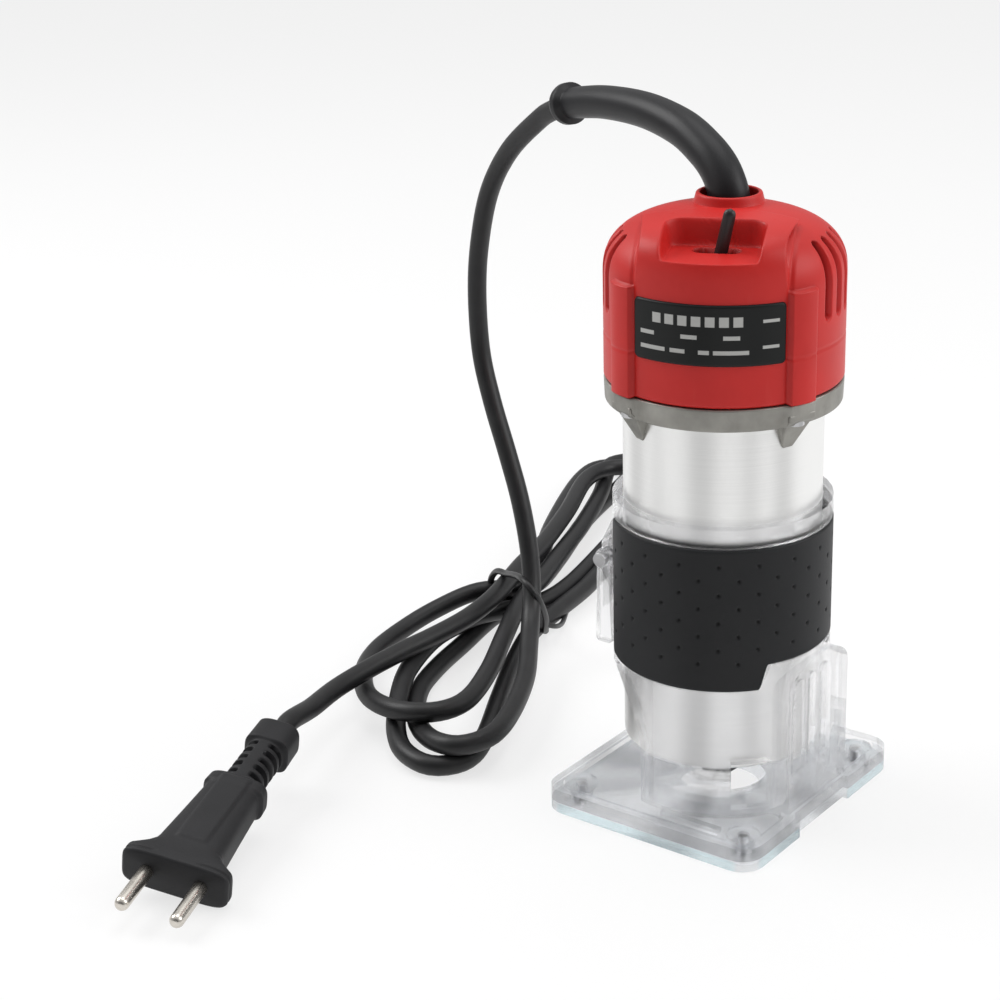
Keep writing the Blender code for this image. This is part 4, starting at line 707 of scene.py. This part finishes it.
def build_toggle():
    """The switch lever: an oval rod with a domed end, its width and depth powers of the share along it."""
    reach, steps = 23 * MM, 32
    share = np.linspace(0, 1, 40)[:, None]
    round_end = 2.2 * MM
    dome = np.sqrt(np.clip(1 - (np.maximum(share * reach - reach + round_end, 0) / round_end) ** 2, 1e-6, 1))
    angles = np.linspace(0, math.tau, steps, endpoint=False)[None, :]
    x = (2.15 - 0.25 * share) * MM * dome * np.cos(angles)
    y = (1.75 - 0.2 * share) * MM * dome * np.sin(angles)
    z = share * reach + 0 * angles
    tilt, foot = math.radians(12), 185.7 * MM
    lean, lift = math.sin(tilt), math.cos(tilt)
    grid = np.stack([x * lift + z * lean, y - SWITCH_AT, foot + z * lift - x * lean], -1)
    made = mesh_of("toggle_lever", *capped(motor_turned(grid)))
    outward(made)
    placed(made, "black_plastic", "toggle", "switch_lever")


# Motor housing

# (radius, height) in millimetres: up the outside of the tube and collar, and down the inside to the bearing seat
HOUSING = (
    (9, 23.4), (32.5, 23.4), (32.5, 141.4), (38.2, 141.8), (38.5, 149.1), (36, 149.1), (30, 149.1), (30, 30.6),
    (19, 30.6), (11.4, 30.6), (11.4, 28.4), (9, 28.4), (9, 23.4),
)
# (radius, height) in millimetres of one web under a lug
WEB = ((39.7, 146), (39.7, 143.8), (37.2, 141.6), (32.4, 132.6), (31.6, 146))
WEB_HALF = 5.2 * MM


def build_housing():
    """The turned tube and cast collar: a closed profile spun round, the collar swollen at its four screw lugs, and a
    tapering web under each."""
    profile = round_profile(np.array(HOUSING) * MM, 0.7 * MM, 1.6 * MM)
    columns = 240
    angle = np.linspace(0, math.tau, columns, endpoint=False)[None, :]
    grid = spun(profile, angle)
    radius = np.hypot(grid[..., 0], grid[..., 1])
    height = grid[..., 2]
    for at in CAP_BOSSES:
        away = np.abs((angle - at + math.pi) % math.tau - math.pi) * CAP_R
        lug = (1 - eased(away, 4.9 * MM, 6.0 * MM)) * eased(radius, 36 * MM, 38 * MM)
        lug = lug * eased(height, 143.0 * MM, 144.2 * MM)
        scale = 1 + lug * 1.4 * MM / radius
        grid[..., 0] *= scale
        grid[..., 1] *= scale
    made = mesh_of("housing", motor_turned(grid), grid_faces(len(grid), columns, True))
    outward(made)
    point_attribute(made, "cast", np.zeros(len(made.data.vertices)))
    placed(made, "aluminium", "motor", "motor_housing")
    made.data.set_sharp_from_angle(angle=math.radians(50))
    corners = len(WEB)
    web = []
    for side in (-WEB_HALF, WEB_HALF):
        for r, z in np.array(WEB) * MM:
            taper = 0.45 + 0.55 * min(1, (z - 133 * MM) / (9 * MM))
            web.append((side * taper, -r, z))
    faces = [[k, (k + 1) % corners, (k + 1) % corners + corners, k + corners] for k in range(corners)]
    faces += [[*range(corners - 1, -1, -1)], [*range(corners, 2 * corners)]]
    for number, at in enumerate(CAP_BOSSES, 1):
        points = motor_turned(turned(np.array(web), at))
        made = mesh_of(f"collar_web_{number}", points, faces, False)
        outward(made)
        point_attribute(made, "cast", np.ones(len(made.data.vertices)))
        soften(made, 0.6)
        placed(made, "aluminium", "motor")


def soften(made, width, segments=3, angle=30):
    """Rounds the sharp edges and evens the shading of the flat faces."""
    bevel = made.modifiers.new("rounded edges", "BEVEL")
    bevel.width = width * MM
    bevel.segments = segments
    bevel.limit_method = "ANGLE"
    bevel.angle_limit = math.radians(angle)
    bevel.harden_normals = False
    made.data.shade_smooth()
    even = made.modifiers.new("even shading", "WEIGHTED_NORMAL")
    even.keep_sharp = True


def refined(node, slot, width=0.25, segments=2):
    """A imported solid's copy with its loose triangles joined, its flat faces whole and its edges rounded."""
    source = frame["nodes"][node]
    mesh = source.data.copy()
    shape = bmesh.new()
    shape.from_mesh(mesh)
    bmesh.ops.remove_doubles(shape, verts=shape.verts, dist=4e-6)
    bmesh.ops.dissolve_limit(
        shape, angle_limit=math.radians(0.6), use_dissolve_boundaries=False, verts=shape.verts, edges=shape.edges
    )
    shape.to_mesh(mesh)
    shape.free()
    made = bpy.data.objects.new(f"{node}_fine", mesh)
    bpy.context.collection.objects.link(made)
    soften(made, width, segments)
    placed(made, slot, source["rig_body"], node)


# Grip sleeve

SLEEVE_LOW, SLEEVE_HIGH, SLEEVE_R, SLEEVE_INSIDE_R = 52.6 * MM, 101.8 * MM, 36.25 * MM, 34.75 * MM
DIMPLE_FIRST, DIMPLE_APART, DIMPLE_LOW, DIMPLE_RISE, DIMPLE_DEEP = 20, 10.2, 62.5 * MM, 9.6 * MM, 0.7 * MM


def build_sleeve():
    """The rubber sleeve: an arc of a cylinder with a wall, its lower edge stepped up over the bracket, its corners
    rounded, and dimples sunk in staggered columns."""
    columns, rows = 430, 112
    outside, inside = SLEEVE_R, SLEEVE_INSIDE_R
    first, last = -math.pi / 2 + math.radians(40), 1.5 * math.pi - math.radians(40)
    angle = np.linspace(first, last, columns)[None, :]
    share = np.linspace(0, 1, rows)[:, None]
    step = 1 - eased(np.abs(angle - math.pi / 2), math.radians(33), math.radians(38.5))
    end = np.minimum(angle - first, last - angle) * outside
    corner = 3 * MM
    rounding = corner - np.sqrt(np.maximum(corner**2 - np.maximum(corner - end, 0) ** 2, 0))
    low = SLEEVE_LOW + 8.5 * MM * step + rounding
    high = SLEEVE_HIGH - rounding
    height = low + (high - low) * share
    rim = np.minimum(np.minimum(height - low, high - height), end + 0 * height)
    radius = outside - 0.6 * MM * (1 - eased(rim, 0.0, 0.7 * MM))
    depth = np.zeros_like(height)
    for k in range(-13, 14):
        at = math.radians(DIMPLE_FIRST + DIMPLE_APART * k)
        rise = DIMPLE_RISE / 2 * (k % 2)
        for row in range(4):
            centre = DIMPLE_LOW + DIMPLE_RISE * row + rise
            if centre > 97 * MM:
                continue
            distance = np.hypot((angle - at) * outside, height - centre)
            clear = eased(rim, 3 * MM, 4 * MM)
            depth = np.maximum(depth, (1 - eased(distance, 0.25 * MM, 0.8 * MM)) * clear)
    radius = radius - DIMPLE_DEEP * depth
    outer = np.stack([radius * np.sin(angle), -radius * np.cos(angle), height], -1)
    inner = np.stack([inside * np.sin(angle) + 0 * height, -inside * np.cos(angle) + 0 * height, height], -1)
    ring = np.concatenate([outer, inner[::-1]], axis=0)
    ring = np.concatenate([ring, ring[:1]], axis=0)
    points = ring.reshape(-1, 3)
    made = mesh_of("sleeve", points, grid_faces(len(ring), columns, False))
    # Painted shade: each dimple's depth is stored as the depth attribute, and the finish turns it dark as if the
    # hollow were shadowed.
    painted_dimple_shade = np.concatenate([depth, np.zeros_like(depth), depth[:1]], axis=0)
    point_attribute(made, "depth", painted_dimple_shade)
    ends = bmesh.new()
    ends.from_mesh(made.data)
    bmesh.ops.remove_doubles(ends, verts=ends.verts, dist=2e-6)
    bmesh.ops.holes_fill(ends, edges=[edge for edge in ends.edges if edge.is_boundary], sides=0)
    bmesh.ops.recalc_face_normals(ends, faces=ends.faces)
    ends.to_mesh(made.data)
    ends.free()
    placed(made, "grip_rubber", "base", "grip_sleeve")


# Strain relief, tie and plug

def build_relief():
    """The strain relief: a tapering round skin along its bend, with a thick lip where the cord leaves it."""
    cosine, sine = math.cos(MOTOR_TURN), math.sin(MOTOR_TURN)
    neck = (-9 * sine, 9 * cosine)
    bend = [(*neck, height) for height in (194, 196.2, 203)]
    bend += [(-4.7, 8.7, 207.2), (-9.0, 10.8, 212.6), (-16, 13.8, 217.2), (-28, 18.8, 221.9), (-46.7, 26.3, 224.4)]
    bend += [(-67.8, 34.7, 223.6), (-84, 41.2, 221), (-92.9, 44.8, 218.9)]
    route = smooth_route(np.array(bend) * MM, 0.9 * MM)
    lengths = np.concatenate([[0], np.cumsum(np.linalg.norm(np.diff(route, axis=0), axis=1))])
    share = lengths / lengths[-1]
    left = lengths[-1] - lengths
    radii = (6.75 - 1.4 * share) * MM
    lip = eased(-left, -4.4 * MM, -3.7 * MM) * (1 - 0.16 * eased(-left, -1.0 * MM, 0))
    radii = radii + (7.3 * MM - radii) * lip
    made = sleeve_round("relief", route, radii, 40)
    placed(made, "relief_rubber", "motor", "strain_relief")
    return made


def build_tie():
    """The tie: a thin round band drawn tight over the strands and under them, with its twisted tail."""
    loop = [
        (-152, 75, 3), (-154, 73, 9), (-152.5, 70.5, 16), (-147, 67.5, 22), (-138, 62, 25), (-127, 54, 29.5),
        (-117.5, 47, 31.5), (-112, 47.5, 26), (-113.5, 54, 16), (-118.5, 61, 7), (-124, 67, 2.1), (-137, 73, 1.8),
        (-147, 76, 2.0), (-152, 75, 3),
    ]
    route = smooth_route(np.array(loop) * MM, 1.5 * MM)
    band = sleeve_round("tie_band", route, 1.3 * MM, 16)
    placed(band, "black_plastic", "base", "cord_tie")
    loose = [(-116.5, 58, 10), (-116, 64, 7), (-120, 74, 3.6), (-127, 87, 2.4), (-134, 101, 2.2)]
    tail = smooth_route(np.array(loose) * MM, 1.2 * MM)
    end = sleeve_round("tie_tail", tail, 1.0 * MM, 12)
    placed(end, "black_plastic", "base")
    return [band, end]


PLUG_ROLL = math.radians(10)
PIN_LONG, PIN_APART = 19 * MM, 9.3 * MM
# (place, half width, half thickness, squareness) along the plug from its face, in millimetres
PLUG_STATIONS = (
    (0, 17.2, 6.4, 5), (0.7, 18.2, 7.3, 5), (1.6, 18.5, 7.4, 5), (4.6, 18.3, 7.4, 5), (5.4, 17.2, 7.3, 5),
    (8.0, 14.0, 7.2, 4.5), (10.5, 11.9, 7.2, 4.2), (12.5, 11.5, 7.2, 4), (28, 10.4, 7.1, 3.8), (43.0, 9.5, 6.9, 3.6),
    (44.2, 9.7, 7.0, 3.6), (45.2, 10.8, 7.1, 3.8), (49.2, 10.6, 7.0, 3.6), (50.2, 9.0, 6.4, 3), (51, 6.7, 6.2, 2.4),
    (71.4, 6.5, 6.2, 2.4), (72.4, 8.0, 7.0, 3.4), (83.0, 7.8, 6.8, 3.4), (84, 6.8, 6.0, 3),
)
PIN_PROFILE = ((0.01, 0.0), (1.0, 0.05), (1.8, 0.5), (2.3, 1.4), (2.4, 2.2), (2.4, 19.2), (0.01, 19.2))


def plug_frame():
    """The plug's directions across, along its row of pins, and up."""
    side = np.array([PLUG_AXIS[1], -PLUG_AXIS[0], 0])
    side /= np.linalg.norm(side)
    up = np.cross(PLUG_AXIS, side)
    across = math.cos(PLUG_ROLL) * side + math.sin(PLUG_ROLL) * up
    return across, math.cos(PLUG_ROLL) * up - math.sin(PLUG_ROLL) * side


def build_plug():
    """The moulded plug: superellipse rings whose half width, half thickness and squareness change along it, with
    grooves sunk into the sides of its neck, a raised pad, a sunken border on its flange and fine grip lines."""
    stations = np.array(PLUG_STATIONS)
    along = np.concatenate([np.linspace(0, 83.9, 250), [84.0]])[:, None]
    half_x = np.interp(along, stations[:, 0], stations[:, 1]) * MM
    half_y = np.interp(along, stations[:, 0], stations[:, 2]) * MM
    power = np.interp(along, stations[:, 0], stations[:, 3])
    columns = 128
    angles = np.linspace(0, math.tau, columns, endpoint=False)[None, :]
    cosine, sine = np.cos(angles), np.sin(angles)
    x = half_x * np.sign(cosine) * np.abs(cosine) ** (2 / power)
    y = half_y * np.sign(sine) * np.abs(sine) ** (2 / power)
    neck = (along > 50.6) & (along < 72)
    waves = eased(np.cos((along - 52.8) / 4.2 * math.tau), -0.25, 0.35) * neck
    spine = 1 - eased(np.abs(np.abs(sine) - 1), 0.02, 0.10)
    sink = 1 - 0.34 * waves * (1 - spine)
    x, y = x * sink, y * sink
    pad = (1 - eased(np.abs(x), 4.6 * MM, 5.6 * MM)) * eased(along, 11.0, 13.5)
    pad = pad * (1 - eased(along, 47, 49)) * (np.abs(sine) > 0.5)
    y = y + np.sign(y) * 0.7 * MM * pad
    lines = eased(np.cos(along / 1.7 * math.tau), 0.1, 0.6) * eased(along, 18, 18.6) * (1 - eased(along, 34, 34.6))
    lines = lines * (1 - eased(np.abs(x - 7.1 * MM), 1.2 * MM, 1.7 * MM)) * (sine > 0)
    y = y - 0.35 * MM * lines
    border = np.exp(-(((along - 2.2) / 0.4) ** 2)) * (np.abs(cosine) > 0.12)
    x, y = x - np.sign(x) * 0.5 * MM * border, y - np.sign(y) * 0.5 * MM * border
    across, up = plug_frame()
    face = PLUG_TIP + PLUG_AXIS * PIN_LONG
    grid = face + x[..., None] * across + y[..., None] * up + (along * MM)[..., None] * PLUG_AXIS
    made = mesh_of("plug", *capped(grid))
    outward(made)
    placed(made, "plug_rubber", "base", "plug_body")
    made.data.set_sharp_from_angle(angle=math.radians(60))
    pins = []
    profile = round_profile(np.array(PIN_PROFILE) * MM, 0.5 * MM, 0.8 * MM)
    out, back = profile[:, 0][:, None, None], profile[:, 1][:, None, None]
    angles = np.linspace(0, math.tau, 40, endpoint=False)[None, :, None]
    for number, sign in enumerate((1, -1), 1):
        ring = out * (np.cos(angles) * across + np.sin(angles) * up)
        tube = PLUG_TIP + sign * PIN_APART * across + back * PLUG_AXIS + ring
        pin = mesh_of(f"pin_{number}", *capped(tube))
        outward(pin)
        placed(pin, "nickel", "base", f"plug_pin_{number}")
        pins.append(pin)
    return [made, *pins]


# Studio

# Darker sectors of the floor that only polished surfaces mirror: bearing and half width in degrees, and depth
DARK_CARDS = ((8, 15, 0.5), (-46, 7, 0.35), (62, 9, 0.4), (102, 12, 0.55), (-80, 14, 0.55))


def build_studio():
    """A pale floor, a world that is darker low down and behind the viewer, and three soft lamps."""
    floor = mesh_of("floor", [(-4, -4, 0), (4, -4, 0), (4, 4, 0), (-4, 4, 0)], [(0, 1, 2, 3)])
    finish = Finish("pale_floor", (0.90, 0.90, 0.90), 0.75)
    camera_ray = finish.node("ShaderNodeLightPath", output="Is Camera Ray")
    seen = finish.node("ShaderNodeLightPath", output="Is Transmission Ray")
    shone = finish.node("ShaderNodeLightPath", output="Is Glossy Ray")
    seen = (camera_ray + seen + shone).worked("MINIMUM", camera_ray + seen + shone, 1.0)
    grain = finish.noise(300, 2)
    finish.feed("Base Color", finish.mixed(grain, (0.89, 0.89, 0.89), (0.91, 0.91, 0.91)))
    spot = finish.place()
    ahead = finish.node("ShaderNodeSeparateXYZ", None, {0: spot}, 0)
    aside = finish.node("ShaderNodeSeparateXYZ", None, {0: spot}, 1)
    bearing = finish.node("ShaderNodeMath", {"operation": "ARCTAN2"}, {0: ahead, 1: 0 - aside})
    shade = 0.0
    for middle, half, painted_dark in DARK_CARDS:
        apart = finish.node("ShaderNodeMath", {"operation": "ABSOLUTE"}, {0: bearing - math.radians(middle)})
        soft = math.radians(half)
        shade = (1 - apart.between(0.55 * soft, 1.25 * soft)) * painted_dark + shade
    card = 1 - shade * shone
    glow = finish.node("ShaderNodeEmission", None, {"Color": (1, 1, 1, 1), "Strength": card})
    finish.blended(seen * 0.72, glow)
    floor.data.materials.append(finish.material)

    world = bpy.data.worlds.new("studio")
    bpy.context.scene.world = world
    world.use_nodes = True
    nodes, links = world.node_tree.nodes, world.node_tree.links
    around = nodes.new("ShaderNodeTexCoord")

    def soft_wall(direction, stops):
        """Brightness by how nearly a direction faces the given one."""
        facing = nodes.new("ShaderNodeVectorMath")
        facing.operation = "DOT_PRODUCT"
        links.new(around.outputs["Generated"], facing.inputs[0])
        facing.inputs[1].default_value = Vector(direction).normalized()
        ramp = nodes.new("ShaderNodeValToRGB")
        ramp.color_ramp.interpolation = "EASE"
        for number, (place, grey) in enumerate(stops):
            element = ramp.color_ramp.elements[number] if number < 2 else ramp.color_ramp.elements.new(place)
            element.position = place
            element.color = (grey, grey, grey, 1)
        links.new(facing.outputs["Value"], ramp.inputs["Fac"])
        return ramp.outputs["Color"]

    product = nodes.new("ShaderNodeVectorMath")
    product.operation = "MULTIPLY"
    links.new(soft_wall((0, 0, 1), ((0.0, 0.62), (0.6, 1.0))), product.inputs[0])
    links.new(soft_wall((0.45, -0.88, 0.1), ((0.45, 1.0), (0.9, 0.25))), product.inputs[1])
    background = nodes["Background"]
    links.new(product.outputs[0], background.inputs["Color"])
    background.inputs["Strength"].default_value = 0.62
    white = nodes.new("ShaderNodeBackground")
    white.inputs["Color"].default_value = (1, 1, 1, 1)
    ray = nodes.new("ShaderNodeLightPath")
    choice = nodes.new("ShaderNodeMixShader")
    links.new(ray.outputs["Is Camera Ray"], choice.inputs[0])
    links.new(background.outputs[0], choice.inputs[1])
    links.new(white.outputs[0], choice.inputs[2])
    links.new(choice.outputs[0], nodes["World Output"].inputs["Surface"])

    def lamp(name, place, aim, size, power, shape="RECTANGLE", tall=None):
        light = bpy.data.lights.new(name, "AREA")
        light.shape = shape
        light.size = size
        light.size_y = tall or size
        light.energy = power
        made = bpy.data.objects.new(name, light)
        bpy.context.collection.objects.link(made)
        direction = Vector(aim) - Vector(place)
        made.matrix_world = Matrix.Translation(place) @ direction.to_track_quat("-Z", "Y").to_matrix().to_4x4()

    lamp("key", (-1.0, -0.25, 0.95), (-0.05, 0, 0.1), 0.7, 8.0)
    lamp("fill", (0.95, 0.45, 0.75), (0, 0, 0.1), 0.8, 6.0)
    lamp("top", (-0.1, 0.25, 1.4), (0, 0, 0.1), 0.9, 5.0)


# The whole object

def keep_rest():
    """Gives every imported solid, also one that lies inside, the worked-out finish of its material slot."""
    for part in frame["record"]["subparts"]:
        finish_with(frame["nodes"][part["node"]], part["material_slot"])


def main():
    build_camera()
    route = cord_route()
    cord = build_cord(route)
    keep_rest()
    finish_with(cord, "cord_pvc")
    build_cap()
    build_label()
    build_toggle()
    build_housing()
    build_sleeve()
    for node, slot, width in (
        ("clear_base", "clear_plastic", 0.35), ("sub_base", "bluish_clear", 0.3), ("collet_nut", "dark_steel", 0.3),
        ("collet", "steel", 0.2), ("clamp_lever", "clear_plastic", 0.4), ("clamp_bolt", "steel", 0.25),
        ("clamp_nut", "steel", 0.25), ("clamp_washer", "steel", 0.15),
        ("sub_base_screw_1", "steel", 0.2), ("sub_base_screw_2", "steel", 0.2),
        ("sub_base_screw_3", "steel", 0.2), ("sub_base_screw_4", "steel", 0.2),
    ):
        refined(node, slot, width)
    relief = build_relief()
    ties = build_tie()
    plug = build_plug()
    build_studio()
    bpy.context.scene.view_settings.view_transform = "Standard"


main()
